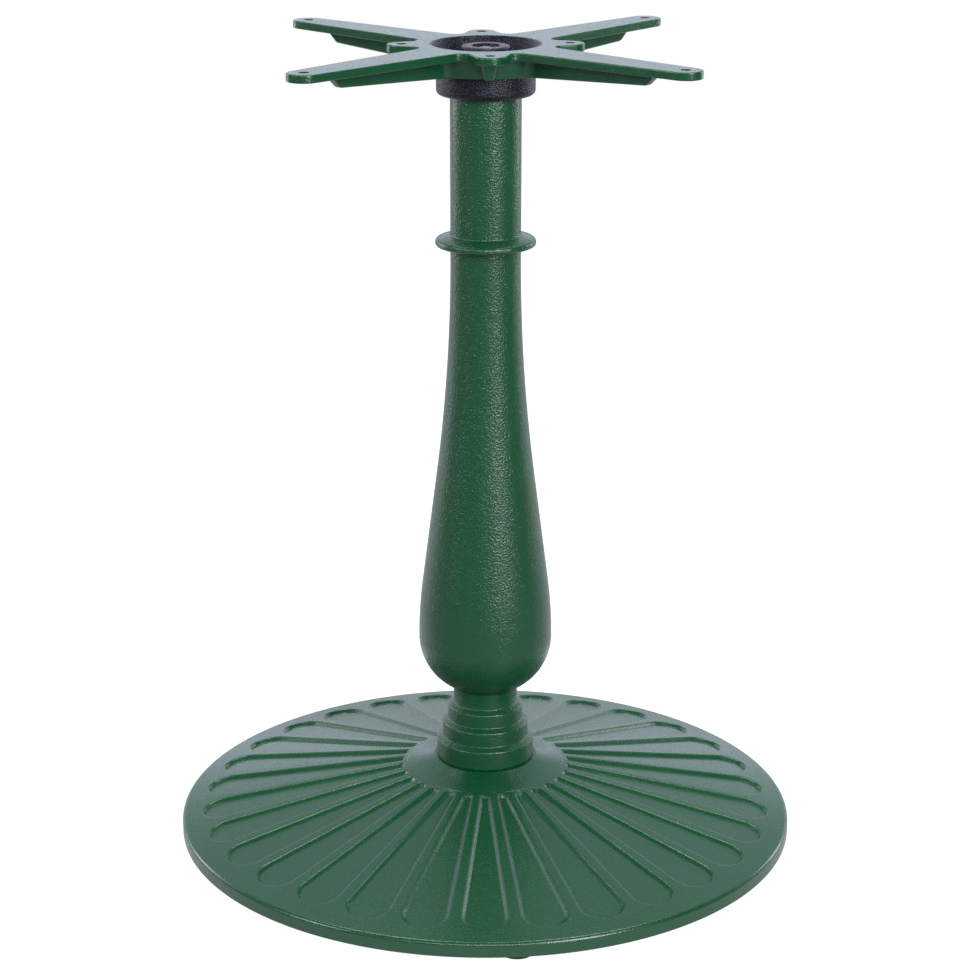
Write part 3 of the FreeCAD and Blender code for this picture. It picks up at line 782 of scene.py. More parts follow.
    def section(self) -> np.ndarray:
        """The flute's wall in section: a wide round at the land, a slope, a tight corner at the floor.

        Returns:
            Points (n, 2) from land to floor: offset from the nominal outline and height.
        """
        wall = math.radians(self.wall_angle)
        t = np.linspace(0, wall, 9)
        bow = np.column_stack([np.sin(t), 1 - np.cos(t)])
        floor = [self.floor_edge, -self.depth] + self.floor_round * bow[::-1]
        fall = self.depth - (self.top_round + self.floor_round) * float(bow[-1, 1])
        top = floor[0] + [fall / math.tan(wall), fall] + self.top_round * bow[-1]
        land = top - self.top_round * bow
        first, last = [self.land_edge, 0.0], [self.floor_edge - self.floor_run, -self.depth]
        return np.vstack([[first], land, floor, [last]])

    def sector(self) -> tuple[Grid, Grid]:
        """Land, wall and floor of the flute along +X.

        The flute's loop is drawn once for each point of the wall's section, grown by its offset and
        set below the cone by its height.

        Returns:
            The ring from the sector's border to the floor's edge, and the floor's strip.
        """
        section = self.section()
        loops = [self.flute_loop(float(g)) for g in section[:, 0]]
        rows = [self.sector_edge(loops[0])] + loops
        drops = [0.0, *section[:, 1]]
        rings = [self.on_cone(flat, drop) for flat, drop in zip(rows, drops)]
        last = rings[-1]
        apex = self.corner_points + self.side_points + self.end_points // 2
        right = last[: apex + 1]
        left = last[apex : len(last) - self.inner_points][::-1]
        middle = self.on_cone((right + left)[:, :2] / 2, -self.depth)
        return Grid(np.stack(rings), False, True), Grid(np.stack([right, middle, left], 1))

    def flare(self) -> np.ndarray:
        """The hollow curve from the cone up to the seat.

        It is the arc that leaves the cone at the hub's radius without a kink and passes the seat's
        edge.

        Returns:
            Points (n, 2) as (radius, height), from the cone to the seat.
        """
        start = self.cone(self.hub)
        run, rise = self.hub - self.seat_r, self.seat_z - start
        tilt = math.atan(self.slope)
        s, c = math.sin(tilt), math.cos(tilt)
        radius = (run**2 + rise**2) / (2 * (c * rise - s * run))
        cx, cz = self.hub + radius * s, start + radius * c
        end = math.degrees(math.atan2(self.seat_z - cz, self.seat_r - cx))
        return arc(cx, cz, radius, -90 - math.degrees(tilt), end, 20)

    def body(self) -> Grid:
        """All of the plate but its fluted ring, as one turned surface.

        Returns:
            The surface, tucked a little under the ring at both ends.
        """
        curve = self.flare()
        under = self.apex - self.wall
        inside, outside = self.inner_edge + self.tuck, self.outer_edge - self.tuck
        foot_in = self.rim - self.foot_width
        foot_top = foot_in - self.foot_draft
        outer = rounded(
            [
                (outside, self.cone(outside) - self.sink, 0),
                (self.rim, self.cone(self.rim), self.rim_round),
                (self.rim, self.foot, 1.0),
                (foot_in, self.foot, 0.6),
                (foot_top, under - self.slope * foot_top, self.under_round),
                (self.hub_boss, under - self.slope * self.hub_boss, self.under_round),
                (self.hub_boss_foot, self.hub_boss_z, 1.2),
                (ROD_HOLE, self.hub_boss_z, 0.4),
                (ROD_HOLE, self.spigot_top, 0.4),
                (self.spigot, self.spigot_top, 1.0),
                (self.spigot, self.seat_z, 0.0),
                (self.seat_r, self.seat_z, self.seat_round),
                (curve[-2, 0], curve[-2, 1], 0.0),
            ],
            8,
        )
        inner = np.vstack([curve[-3::-1], [[inside, self.cone(inside) - self.sink]]])
        keep = inner[:, 0] <= inside
        return lathe(split_long(np.vstack([outer, inner[keep]]), 16.0), 360)

    def surfaces(self) -> list[Surface]:
        """All surfaces of the plate.

        Returns:
            Grids in place.
        """
        ring, floor = self.sector()
        made: list[Surface] = [self.body()]
        for k in range(self.count):
            angle = math.radians(self.turn) + k * FULL / self.count
            made += [ring.turned(angle), floor.turned(angle)]
        profile = rounded(
            [
                (self.screw_hole, self.boss_top, 0),
                (self.screw_hole, self.boss_foot, 0.3),
                (self.boss, self.boss_foot, 0.8),
                (self.boss, self.boss_top, 0),
            ],
            4,
        )
        for k in range(ARMS):
            angle = math.radians(self.turn + 90 * k)
            made.append(lathe(profile, 40).turned(angle, self.boss_circle))
        return made

    def build(self) -> None:
        """Adds the dressed plate to the scene."""
        place("plate_skin", self.surfaces(), PLATE, "base_plate")


@dataclass(frozen=True)
class Baluster:
    """The turned-looking column casting."""

    # foot with its stepped collars, each given as (radius, top)
    seat: float = 71.0
    seat_inner: float = 40.0
    socket: float = 22.2
    foot_round: float = 1.6
    collars: tuple[Pair, ...] = ((43.8, 92.0), (38.8, 108.3), (33.8, 124.0))
    collar_step: float = 5.0
    shoulder_low: float = 3.6
    shoulder_high: float = 0.2
    neck: float = 28.8
    neck_top: float = 138.0
    # bulb and long taper
    bulb: float = 59.75
    bulb_z: float = 187.4
    bulb_round: float = 52.7
    cheek_round: float = 400.0
    taper: float = 7.35
    waist_z: float = 535.4
    # shaft with its flange ring
    shaft: float = 30.6
    top: float = 690.0
    ring: float = 43.7
    ring_low: float = 546.5
    ring_high: float = 552.15
    ring_top: float = 556.0
    # hollow core, from the top down
    core_top: float = 24.4
    core: tuple[Pair, ...] = ((24.4, 480.0), (52.0, 196.0), (52.0, 182.0), (22.2, 148.0))
    longest: float = 14.0

    def foot(self) -> np.ndarray:
        """Outline of the foot: three collars with sloped shoulders, then the neck.

        Returns:
            Points (n, 2) as (radius, height), upward.
        """
        steps = [(self.seat_inner, self.seat, 0), (self.collars[0][0], self.seat, self.foot_round)]
        for radius, top in self.collars:
            steps.append((radius, top - self.shoulder_low, 1.7))
            steps.append((radius - self.collar_step, top - self.shoulder_high, 1.3))
        steps.append((self.neck, self.neck_top, 0))
        return rounded(steps, 6)

    def vase(self) -> np.ndarray:
        """Outline from the neck to the shaft: bulb, cheek, straight taper and hollow waist.

        The bulb and the cheek are arcs that share their widest point, and the waist is the arc that
        touches both the taper and the shaft.

        Returns:
            Points (n, 2) as (radius, height), upward.
        """
        low = self.bulb - self.bulb_round
        first = -math.degrees(math.acos((self.neck - low) / self.bulb_round))
        bulb = arc(low, self.bulb_z, self.bulb_round, first + 1.6, 0, 26)
        cheek_x = self.bulb - self.cheek_round
        cheek = arc(cheek_x, self.bulb_z, self.cheek_round, 0.9, self.taper, 9)
        start = cheek[-1]
        t = math.radians(self.taper)
        gap = start[0] - self.shaft - math.tan(t) * (self.waist_z - start[1])
        bend = gap / (1 - math.cos(t) - math.tan(t) * math.sin(t))
        waist = arc(self.shaft + bend, self.waist_z, bend, 180 + self.taper, 180, 18)
        line = split_long(np.vstack([start, waist[0]]), self.longest)[1:-1]
        return np.vstack([bulb, cheek, line, waist])

    def head(self) -> np.ndarray:
        """Outline of the shaft with its flange ring, over the top and into the core.

        Returns:
            Points (n, 2) as (radius, height), upward.
        """
        return rounded(
            [
                (self.shaft, self.waist_z + 0.6, 0),
                (self.shaft, self.ring_low, 1.2),
                (self.ring, self.ring_low, 2.2),
                (self.ring, self.ring_high, 3.2),
                (self.shaft, self.ring_top, 1.4),
                (self.shaft, self.top, 0.6),
                (self.core_top, self.top, 0),
            ],
            6,
        )

    def surfaces(self) -> list[Surface]:
        """The casting's closed half section turned about the axis.

        Returns:
            One closed grid.
        """
        under = np.array([[self.socket, self.seat], [self.seat_inner, self.seat]])
        path = [under, self.foot(), self.vase(), self.head(), np.array(self.core)]
        return [lathe(split_long(np.vstack(path), self.longest), 192, True)]

    def build(self) -> None:
        """Adds the dressed column to the scene."""
        place("column_skin", self.surfaces(), GREEN, "column")


@dataclass(frozen=True)
class Spider:
    """The four-armed casting under the table top."""

    # plate of arms and lugs
    top: float = 720.0
    plate: float = 7.0
    edge: float = 1.6
    edge_inset: float = 2.6
    arm_tip: float = 14.2
    arm_side: float = 2.66
    lug_tip: float = 12.5
    lug_side: float = 18.0
    notch: float = 8.0
    hole: float = 4.0
    hole_rim: float = 1.4
    # points along the outline: arm's tip, lug's tip, notch, straight side
    tip_points: int = 33
    lug_points: int = 25
    notch_points: int = 15
    side_points: int = 12
    # hub with its skirt and conical opening
    hub_foot: float = 697.0
    skirt_foot: float = 50.5
    skirt_flare: float = 3.3
    skirt_reach: float = 58.0
    opening: float = 47.6
    opening_foot: float = 39.0
    opening_rim: float = 52.0
    ledge: float = 34.0
    ledge_z: float = 701.0
    hub_inside: float = 50.0
    inner_end: float = 47.0
    # ribs below the arms
    rib_half: float = 4.0
    rib_spread: float = 4.2
    rib_knee: float = 60.0
    knee_round: float = 30.0
    rib_fillet: float = 3.2
    rib_edge: float = 1.7
    rib_foot: Pair = (176.0, 703.4)
    rib_end: float = 185.5
    blend: float = 8.0
    # stubs below the lugs, as (at the plate, at the foot)
    stub_radius: Pair = (8.4, 4.2)
    stub_centre: Pair = (58.0, 54.5)

    @property
    def low(self) -> float:
        """Height of the plate's underside."""
        return self.top - self.plate

    def outline(self) -> np.ndarray:
        """Plan outline of arms and lugs, arms on the diagonals.

        An eighth of it runs from an arm's tip along its side, round the notch that touches both the
        arm's and the lug's side, to the lug's tip. It is mirrored, then turned four times.

        Returns:
            Points (n, 2), anticlockwise.
        """
        a, b = math.radians(self.arm_side), math.radians(self.lug_side)
        arm_n = np.array([math.sin(a), math.cos(a)])
        arm_p = np.array([ARM_CIRCLE, 0.0])
        d = math.radians(45)
        lug_p = LUG_CIRCLE * np.array([math.cos(d), math.sin(d)])
        lug_dir = d - math.pi / 2 + b
        lug_n = np.array([math.cos(lug_dir), math.sin(lug_dir)])
        arm_line = arm_n @ arm_p + self.arm_tip + self.notch
        lug_line = lug_n @ lug_p + self.lug_tip + self.notch
        centre = np.linalg.solve(np.stack([arm_n, lug_n]), np.array([arm_line, lug_line]))
        n0 = math.degrees(math.atan2(-lug_n[1], -lug_n[0]))
        n1 = math.degrees(math.atan2(-arm_n[1], -arm_n[0]))
        quarter_turn = 90 - self.arm_side
        tip = arc(*arm_p, self.arm_tip, -quarter_turn, quarter_turn, self.tip_points)
        side = math.degrees(lug_dir)
        lug = arc(*lug_p, self.lug_tip, side, 90 - side, self.lug_points)
        bend_end = n0 if n0 < n1 else n0 - 360
        bend = arc(*centre, self.notch, n1, bend_end, self.notch_points)
        arm = between(tip[-1], bend[0], self.side_points)
        neck = between(bend[-1], lug[0], self.side_points)[::4]
        half_tip, half_lug = tip[self.tip_points // 2 :], lug[: self.lug_points // 2 + 1]
        half = np.vstack([half_tip, arm, bend, neck, half_lug])
        flip = np.array([[0.0, 1.0], [1.0, 0.0]])
        quarter = np.vstack([half, (half[::-1] @ flip)[1:]])
        quarters = []
        for k in range(ARMS):
            t = math.radians(45 + 90 * k)
            turn = np.array([[math.cos(t), math.sin(t)], [-math.sin(t), math.cos(t)]])
            quarters.append((quarter @ turn)[:-1])
        return np.vstack(quarters)

    def section(self) -> np.ndarray:
        """Section of the plate's edge as (inset, height).

        Returns:
            Points (n, 2), from the top inward edge round to the bottom.
        """
        inset, low = self.edge_inset, self.low
        path = [(inset, self.top, 0), (0, self.top, self.edge), (0, low, self.edge), (inset, low, 0)]
        return rounded(path, 8)

    def holes(self) -> list[Pair]:
        """Centres of the eight screw holes.

        Returns:
            Plan places.
        """
        made = []
        for k in range(ARMS):
            for radius, start in ((ARM_CIRCLE, 45), (LUG_CIRCLE, 0)):
                t = math.radians(start + 90 * k)
                made.append((radius * math.cos(t), radius * math.sin(t)))
        return made

    def bore(self) -> np.ndarray:
        """Profile of a screw hole about its own axis, softened at both faces.

        Returns:
            Points (n, 2) as (radius, height), downward.
        """
        wide, low = self.hole + self.hole_rim, self.low
        path = [(wide, self.top, 0), (self.hole, self.top, 0.8), (self.hole, low, 0.6), (wide, low, 0)]
        return rounded(path, 5)

    def hub(self) -> np.ndarray:
        """Profile of the conical opening, the ledge and the skirt.

        Returns:
            Points (n, 2) as (radius, height), from the top face down and out to the underside.
        """
        under = self.low + BITE
        return rounded(
            [
                (self.opening_rim, self.top, 0),
                (self.opening, self.top, 0.2),
                (self.opening_foot, self.ledge_z, 0.6),
                (self.ledge, self.ledge_z, 0.5),
                (self.ledge, self.hub_foot, 0.5),
                (self.skirt_foot, self.hub_foot, 1.4),
                (self.skirt_foot + self.skirt_flare, under, 2.4),
                (self.skirt_reach, under, 0),
            ],
            7,
        )

    def rib(self) -> Grid:
        """The rib below the arm along +X, with fillets to the plate.

        A U-shaped section is carried along the rib's lower edge, its height falling with the edge.

        Returns:
            The swept surface.
        """
        foot, half = self.hub_foot, self.rib_half
        start = [(self.inner_end, foot, 0), (self.rib_knee, foot, self.knee_round)]
        end = [(*self.rib_foot, 5), (self.rib_end, self.low - 0.1, 0)]
        under = self.low + BITE
        rows = []
        for r, z in split_long(rounded(start + end, 10), 12.0):
            room = 0.48 * (self.low - z)
            above = [(half + self.rib_spread, under, 0), (half, under, min(self.rib_fillet, room))]
            below = [(half, z, min(self.rib_edge, room)), (0, z, 0)]
            right = rounded(above + below, 6)
            whole = np.vstack([right, (right[::-1] * [-1, 1])[1:]])
            rows.append(np.column_stack([np.full(len(whole), r), whole]))
        return Grid(np.stack(rows))

    def root(self) -> Grid:
        """The rounded blend between the skirt and the left side of the rib along +X.

        At each height it is the arc that touches the skirt's circle and the rib's side.

        Returns:
            The surface, closed at the bottom.
        """
        foot = self.hub_foot
        side = rounded([(0, self.low + BITE, 0), (0, foot, 1.4), (-5.0, foot, 0)], 6)
        rows = []
        for grow, z in side:
            skirt = self.skirt_foot + self.skirt_flare * (z - foot) / (self.low - foot)
            ring, beside = skirt + self.blend, self.rib_half + self.blend
            along = math.sqrt(ring**2 - beside**2)
            end = math.degrees(math.atan2(beside, along)) - 180
            rows.append(at_height(arc(along, beside, self.blend - grow, -90, end, 14), z))
        return Grid(np.stack(rows))

    def stub(self) -> Grid:
        """The half-round stub below the lug along +X, narrowing towards its foot.

        Returns:
            The lofted surface.
        """
        foot, under = self.hub_foot, self.low + BITE
        side = rounded([(3.0, under, 0), (0, under, 2.4), (0, foot, 1.4), (-2.6, foot, 0)], 6)
        rows = []
        for grow, z in side:
            share = (self.low - min(z, self.low)) / (self.low - foot)
            radius, centre = (a + (b - a) * share for a, b in (self.stub_radius, self.stub_centre))
            radius += grow
            bow = arc(centre, 0, radius, -90, 90, 21)
            ends = [self.inner_end, -radius], [self.inner_end, radius]
            rows.append(at_height(np.vstack([ends[0], bow, ends[1]]), z))
        return Grid(np.stack(rows))

    def surfaces(self) -> list[Surface]:
        """All surfaces of the spider.

        Returns:
            Grids and caps in place.
        """
        round_hub, round_hole = 144, 36
        edge = loop_sweep(self.outline(), self.section())
        made: list[Surface] = [edge]
        above = [edge.points[0, :, :2], circle(self.opening_rim, round_hub)]
        below = [edge.points[-1, :, :2], circle(self.hub_inside, round_hub)]
        bore = lathe(self.bore(), round_hole)
        for x, y in self.holes():
            made.append(bore.turned(0.0, x, y))
            ring = circle(self.hole + self.hole_rim, round_hole, x, y)
            above.append(ring)
            below.append(ring)
        made += [Cap(above, self.top), Cap(below, self.low), lathe(self.hub(), round_hub)]
        rib, root, stub = self.rib(), self.root(), self.stub()
        mirrored = Grid(root.points[:, ::-1] * [1, -1, 1])
        for k in range(ARMS):
            arm, lug = math.radians(45 + 90 * k), math.radians(90 * k)
            made += [part.turned(arm) for part in (rib, root, mirrored)]
            made.append(stub.turned(lug))
        return made

    def build(self) -> None:
        """Adds the dressed spider to the scene."""
        place("spider_skin", self.surfaces(), SPIDER, "spider")


@dataclass(frozen=True)
class Clamp:
    """Black collar, clamp dish and the rod with its nuts."""

    # collar on the column's top
    collar_r: float = 42.4
    collar_foot: float = 677.0
    collar_top: float = 697.0
    collar_bore: float = 30.75
    column_top: float = 690.0
    # dish with its boss and pocket
    dish_foot: float = 701.0
    dish_floor: float = 705.0
    dish_outer: Pair = (38.8, 47.4)  # at the foot and at the lip
    dish_inner: Pair = (37.6, 46.3)  # at the floor and at the lip
    lip_z: float = 719.85
    boss_outer: Pair = (22.0, 20.6)  # at the floor and at the top
    boss_top: float = 718.4
    boss_rim: float = 15.2
    pocket: float = 22.5
    pocket_lead: float = 1.2
    # rod
    rod: float = 6.0
    rod_foot: float = 18.0
    rod_top: float = 716.8
    pitch: float = 1.75
    lower_thread: float = 60.0
    upper_thread: float = 40.0
    run_out: float = 2.0
    chamfer: float = 1.2
    # nuts, as (lower face, upper face)
    nut: float = 19.0
    nut_bore: float = 6.1
    upper_nut: Pair = (705.0, 715.0)
    lower_nut: Pair = (24.5, 34.5)

    @staticmethod
    def hexagon(flats: float, count: int, soft: float) -> np.ndarray:
        """A hexagon whose corners may be cut to a circle.

        Its radius is half the width across flats, divided by the cosine of the angle from the middle
        of the nearest flat.

        Args:
            flats: Width across the flats.
            count: How many points, in equal turns.
            soft: How far the corners are cut back.

        Returns:
            Points (count, 2).
        """
        t = np.arange(count) * FULL / count
        r = flats / 2 / np.cos((t + math.pi / 6) % (math.pi / 3) - math.pi / 6)
        r = np.minimum(r, flats / math.sqrt(3) - soft)
        return np.column_stack([r * np.cos(t), r * np.sin(t)])

    def collar(self) -> list[Surface]:
        """The collar on the column's top, turned from its section.

        Returns:
            One closed grid.
        """
        path = [
            (ROD_HOLE, self.column_top, 0),
            (self.collar_bore, self.column_top, 0.5),
            (self.collar_bore, self.collar_foot, 0.8),
            (self.collar_r, self.collar_foot, 4.5),
            (self.collar_r, self.collar_top, 1.2),
            (ROD_HOLE, self.collar_top, 0),
        ]
        return [lathe(rounded(path, 8), 144, True)]

    def dish(self) -> list[Surface]:
        """The conical dish, turned from its section, and the hexagon pocket in its boss.

        Returns:
            The turned shell and the pocket.
        """
        count = 144
        floor, top = self.dish_floor, self.boss_top
        shell = rounded(
            [
                (ROD_HOLE, floor, 0),
                (ROD_HOLE, self.dish_foot, 0.3),
                (self.dish_outer[0], self.dish_foot, 0.6),
                (self.dish_outer[1], self.lip_z, 0.15),
                (self.dish_inner[1], self.lip_z, 0.4),
                (self.dish_inner[0], floor, 3.5),
                (self.boss_outer[0], floor, 2.5),
                (self.boss_outer[1], top, 2.2),
                (self.boss_rim, top, 0),
            ],
            8,
        )
        rows = [at_height(circle(self.boss_rim, count), top)]
        for grow, z in rounded([(self.pocket_lead, top, 0), (0, top, 0.9), (0, floor, 0)], 6):
            rows.append(at_height(self.hexagon(self.pocket + 2 * grow, count, 0.5), z))
        rows.append(at_height(circle(ROD_HOLE, count), floor))
        return [lathe(shell, count), Grid(np.stack(rows), False, True)]

    def threaded_rod(self) -> list[Surface]:
        """The rod with a helical thread at both ends.

        The radius falls by a clipped triangle wave of height / pitch - angle / full turn. It is the
        mean of the thread between the two, and less at the chamfered ends.

        Returns:
            One grid.
        """
        count, thread_steps, depth, steepness, crest, point = 48, 10, 1.0, 1.25, 0.12, 0.02
        low, high = self.rod_foot, self.rod_top
        plain_low, plain_high = low + self.lower_thread, high - self.upper_thread
        fine = np.arange(0, self.lower_thread + 1e-6, self.pitch / thread_steps)
        plain = [plain_low + self.run_out, plain_high - self.run_out]
        z = np.concatenate([low + fine, plain, plain_high + fine[fine <= self.upper_thread]])
        t = np.arange(count) * FULL / count
        phase = (z[:, None] / self.pitch - t[None] / FULL) % 1.0
        cut = np.clip(np.abs(phase - 0.5) * 2 * steepness - crest, 0, 1)
        from_end = np.minimum(np.minimum(z - low, high - z), self.chamfer)[:, None]
        r = np.minimum(self.rod - depth * cut, self.rod + from_end - self.chamfer)
        middle = (z > plain_low + self.run_out / 2) & (z < plain_high - self.run_out / 2)
        r = np.where(middle[:, None], self.rod - depth / 2, r)
        height = np.broadcast_to(z[:, None], r.shape)
        points = np.stack([r * np.cos(t), r * np.sin(t), height], -1)
        shrink = [point, point, 1]
        ends = [points[:1] * shrink, points, points[-1:] * shrink]
        return [Grid(np.concatenate(ends), False, True)]

    def hex_nut(self, low: float, high: float) -> list[Surface]:
        """A hexagon nut, chamfered at both faces.

        Each corner falls back from the face by its reach past the face's circle times the bevel's
        slope.

        Args:
            low, high: The heights of its faces.

        Returns:
            One closed grid.
        """
        count, face_share, bevel = 96, 0.96, math.tan(math.radians(30))
        full = self.hexagon(self.nut, count, 0.0)
        flat = self.nut / 2 * face_share
        drop = np.maximum(np.hypot(full[:, 0], full[:, 1]) - flat, 0) * bevel
        disc, hole = circle(flat, count), circle(self.nut_bore, count)
        rows = [
            at_height(disc, low),
            np.column_stack([full, low + drop]),
            np.column_stack([full, high - drop]),
            at_height(disc, high),
            at_height(hole, high),
            at_height(hole, low),
        ]
        return [Grid(np.stack(rows), True, True)]

    def build(self) -> None:
        """Adds the dressed collar, dish, rod and nuts to the scene."""
        place("collar_skin", self.collar(), BLACK, "top_collar")
        place("dish_skin", self.dish(), BLACK, "clamp_dish")
        place("rod_skin", self.threaded_rod(), ZINC, "tie_rod")
        place("upper_nut_skin", self.hex_nut(*self.upper_nut), ZINC, "upper_nut")
        place("lower_nut_skin", self.hex_nut(*self.lower_nut), ZINC, "lower_nut")


def dress_nodes(nodes: dict[str, bpy.types.Object]) -> None:
    """Gives the CAD nodes their finishes: nylon for the glides, zinc for what holds the stack.

    Args:
        nodes: The frame's CAD nodes by name.
    """
    for name, node in nodes.items():
        nylon = name.startswith("glide_") and name != "glide_screws"
        node.data.materials.clear()
        node.data.materials.append((NYLON if nylon else ZINC).material)


# Studio


@dataclass(frozen=True)
class Softbox:
    """A soft area light.

    Args:
        name: Its name.
        place: Where it stands, in metres.
        aim: What it points at.
        size: Width and height.
        watts: Its power.
    """

    name: str
    place: tuple[float, float, float]
    aim: tuple[float, float, float]
    size: Pair
    watts: float

    def build(self) -> None:
        """Adds the light to the scene."""
        lamp = bpy.data.lights.new(self.name, "AREA")
        lamp.shape = "RECTANGLE"
        lamp.size, lamp.size_y = self.size
        lamp.energy = self.watts
        obj = bpy.data.objects.new(self.name, lamp)
        obj.location = self.place
        way = Vector(self.aim) - Vector(self.place)
        obj.rotation_euler = way.to_track_quat("-Z", "Y").to_euler()
        bpy.context.scene.collection.objects.link(obj)


@dataclass(frozen=True)
class Surroundings:
    """The world: plain white to the camera, a dim room with a pale wall behind for all other rays.

    Args:
        behind: How far a direction points back (its Y) where the wall fades in.
        horizon: How far it rises (its Z) where the bright band above the floor fades in.
        band_fall: The rise above the band in which it falls to half.
        floor_side: The rise, downward, in which the wall's foot fades in.
        upper: The rise in which the wall's upper part fades in.
        upper_end: The rise, downward, in which that part fades in from above.
        room, wall: Strengths of the room and of the wall.
        foot, head: What the wall's foot and its upper part add.
        band: Strength of the band.
        room_tint, band_tint: Colours of the room and of the band.
        seen_tint: Colour that the camera sees.
    """

    behind: Pair = (0.1, 0.65)
    horizon: Pair = (0.04, 0.15)
    band_fall: float = 0.1
    floor_side: Pair = (-0.02, -0.1)
    upper: Pair = (0.35, 0.62)
    upper_end: Pair = (0.76, 0.68)
    room: float = 0.11
    wall: float = 0.2
    foot: float = 0.25
    head: float = 0.32
    band: float = 1.4
    room_tint: Colour = (0.86, 0.98, 1.06)
    band_tint: Colour = (0.98, 0.99, 1.27)
    seen_tint: Colour = (1.0, 1.0, 1.0)

    def build(self) -> None:
        """Sets the scene's world."""
        world = bpy.data.worlds.new("studio")
        bpy.context.scene.world = world
        world.use_nodes = True
        tree = world.node_tree
        tree.nodes.clear()
        way = Wire(tree.nodes.new("ShaderNodeTexCoord").outputs["Generated"])
        rise = way.node("ShaderNodeSeparateXYZ", "Z", Vector=way)
        back = way.node("ShaderNodeSeparateXYZ", "Y", Vector=way).ramp(*self.behind)
        above = ((rise - self.horizon[1]) / self.band_fall).at_least(0.0)
        band = back * rise.ramp(*self.horizon) / (1 + above * above)
        foot = self.foot * rise.ramp(*self.floor_side)
        head = self.head * rise.ramp(*self.upper) * rise.ramp(*self.upper_end)
        shade = self.room + back * (self.wall + foot + head) + self.band * band
        seen = way.node("ShaderNodeLightPath", "Is Camera Ray")
        tint = seen.blend(band.blend(self.room_tint, self.band_tint), self.seen_tint)
        strength = seen + shade * (1 - seen)
        glow = way.node("ShaderNodeBackground", 0, Color=tint, Strength=strength)
        out = tree.nodes.new("ShaderNodeOutputWorld")
        tree.links.new(glow.socket, out.inputs["Surface"])


@dataclass(frozen=True)
class Floor:
    """The plain pale floor, white to the camera.

    Args:
        side: Half its width.
        colour: What it reflects.
        seen: Its brightness to the camera.
        behind: How far back a place lies, as a share of its distance, where mirrored rays see it fade in.
        back: Brightness behind the object to mirrored rays.
        pool: Brightness round the object's foot to mirrored rays.
        pool_radius: Where that pool has fallen to half.
        pool_edge: How sharply it ends, as a power.
        mirror_tint, seen_tint: Colours to mirrored rays and to the camera.
    """

    side: float = 3.0
    colour: Colour = (0.25, 0.25, 0.26)
    seen: float = 0.97
    behind: Pair = (0.0, 0.7)
    back: float = 0.4
    pool: float = 0.5
    pool_radius: float = 0.4
    pool_edge: int = 8
    mirror_tint: Colour = (0.95, 0.98, 1.03)
    seen_tint: Colour = (1.0, 1.0, 1.0)

    def material(self) -> bpy.types.Material:
        """Builds the floor's shader: a diffuse floor that also glows for camera and mirrored rays.

        Returns:
            The new material.
        """
        made = bpy.data.materials.new("floor_white")
        made.use_nodes = True
        tree = made.node_tree
        tree.nodes.clear()
        seen = Wire(tree.nodes.new("ShaderNodeLightPath").outputs["Is Camera Ray"])
        plain = seen.node("ShaderNodeBsdfDiffuse", 0, Color=(*self.colour, 1.0))
        spot = seen.node("ShaderNodeTexCoord", "Object")
        reach = spot.vector("LENGTH", "Value")
        depth = seen.node("ShaderNodeSeparateXYZ", "Y", Vector=spot)
        back = (depth / reach).ramp(*self.behind, 0.0, self.back)
        pool = self.pool / (1 + (reach / self.pool_radius) ** self.pool_edge)
        mirrored = seen.node("ShaderNodeLightPath", "Is Glossy Ray")
        level = self.seen * seen + (back + pool) * mirrored
        tint = seen.blend(self.mirror_tint, self.seen_tint)
        glow = seen.node("ShaderNodeEmission", 0, Color=tint, Strength=level)
        both = seen.node("ShaderNodeAddShader", 0, i0=plain, i1=glow)
        out = tree.nodes.new("ShaderNodeOutputMaterial")
        tree.links.new(both.socket, out.inputs["Surface"])
        return made

    def build(self) -> None:
        """Adds the floor to the scene."""
        s = self.side
        mesh = bpy.data.meshes.new("floor")
        mesh.from_pydata([(-s, -s, 0), (s, -s, 0), (s, s, 0), (-s, s, 0)], [], [(0, 1, 2, 3)])
        mesh.materials.append(self.material())
        obj = bpy.data.objects.new("floor", mesh)
        bpy.context.scene.collection.objects.link(obj)


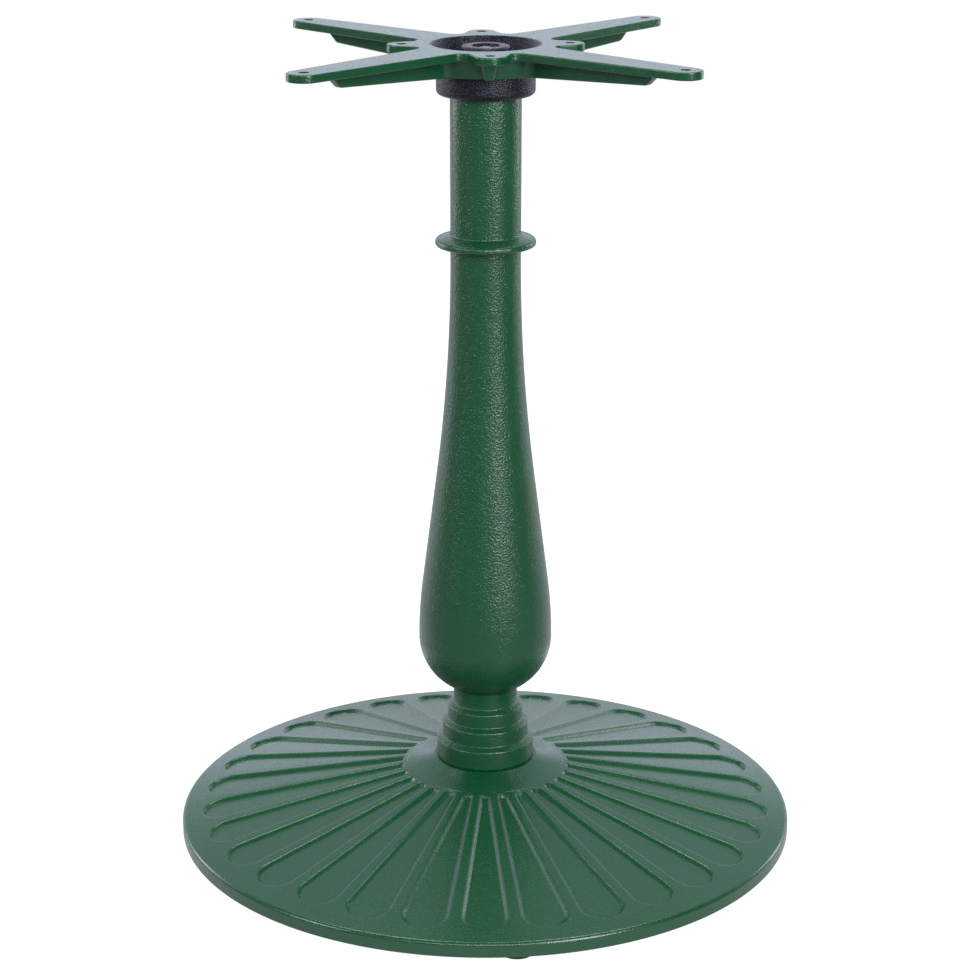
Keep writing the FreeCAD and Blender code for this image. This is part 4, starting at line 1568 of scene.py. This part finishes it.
@dataclass(frozen=True)
class Viewpoint:
    """The camera fitted to the photograph, in metres and degrees.

    Args:
        turn: How far it stands to the left of straight in front.
        reach: Its distance from the column's axis in plan.
        height: Its height.
        tilt, roll, yaw: How far it looks down, is rolled, and looks to the side of the axis.
        lens: Focal length in millimetres on a sensor of the given width.
        sensor: The sensor's width in millimetres.
    """

    turn: float = 2.87
    reach: float = 2.2435
    height: float = 1.047
    tilt: float = 17.746
    roll: float = 0.05
    yaw: float = 0.0216
    lens: float = 98.47
    sensor: float = 36.0

    def build(self) -> None:
        """Adds the camera and makes it the scene's own."""
        lens = bpy.data.cameras.new("camera")
        lens.sensor_width = self.sensor
        lens.lens = self.lens
        lens.dof.use_dof = False
        lens.clip_end = 50.0
        obj = bpy.data.objects.new("camera", lens)
        t = math.radians(self.turn)
        obj.location = (-self.reach * math.sin(t), -self.reach * math.cos(t), self.height)
        down, round_z = math.radians(90 - self.tilt), math.radians(self.yaw) - t
        aim = Euler((down, 0.0, round_z)).to_quaternion()
        roll = Quaternion((0, 0, 1), math.radians(self.roll))
        obj.rotation_euler = (aim @ roll).to_euler()
        bpy.context.scene.collection.objects.link(obj)
        bpy.context.scene.camera = obj


@dataclass(frozen=True)
class Studio:
    """White floor and surroundings, soft lights and the fitted camera."""

    surroundings: Surroundings = Surroundings()
    floor: Floor = Floor()
    softboxes: tuple[Softbox, ...] = (
        Softbox("key_box", (1.75, -2.85, 1.7), (0.0, 0.0, 0.5), (1.3, 2.2), 86.0),
        Softbox("fill_box", (-2.75, -1.15, 1.7), (0.0, 0.0, 0.5), (0.8, 1.4), 26.0),
        Softbox("left_box", (-2.5, 1.6, 0.9), (0.0, 0.0, 0.4), (0.7, 1.6), 15.0),
        Softbox("right_box", (2.55, 1.7, 0.8), (0.0, 0.0, 0.4), (0.5, 1.6), 11.0),
        Softbox("front_box", (-0.4, -3.2, 2.0), (0.0, 0.0, 0.3), (2.6, 0.5), 38.0),
        Softbox("top_box", (0.1, 0.8, 3.0), (0.0, 0.0, 0.2), (2.6, 0.6), 37.0),
    )
    viewpoint: Viewpoint = Viewpoint()

    def build(self) -> None:
        """Builds the studio and sets the plain view transform."""
        for thing in (self.surroundings, self.floor, *self.softboxes, self.viewpoint):
            thing.build()
        scene = bpy.context.scene
        scene.view_settings.view_transform = "Standard"
        scene.view_settings.look = "None"
        scene.use_nodes = False


# Assembly


def main() -> None:
    """Loads the frame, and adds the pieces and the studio."""
    logging.basicConfig(level=logging.INFO)
    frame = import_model()
    for assembly in (FlutedPlate(), Baluster(), Spider(), Clamp()):
        assembly.build()
    dress_nodes(frame["nodes"])
    Studio().build()


if __name__ == "__main__":
    main()
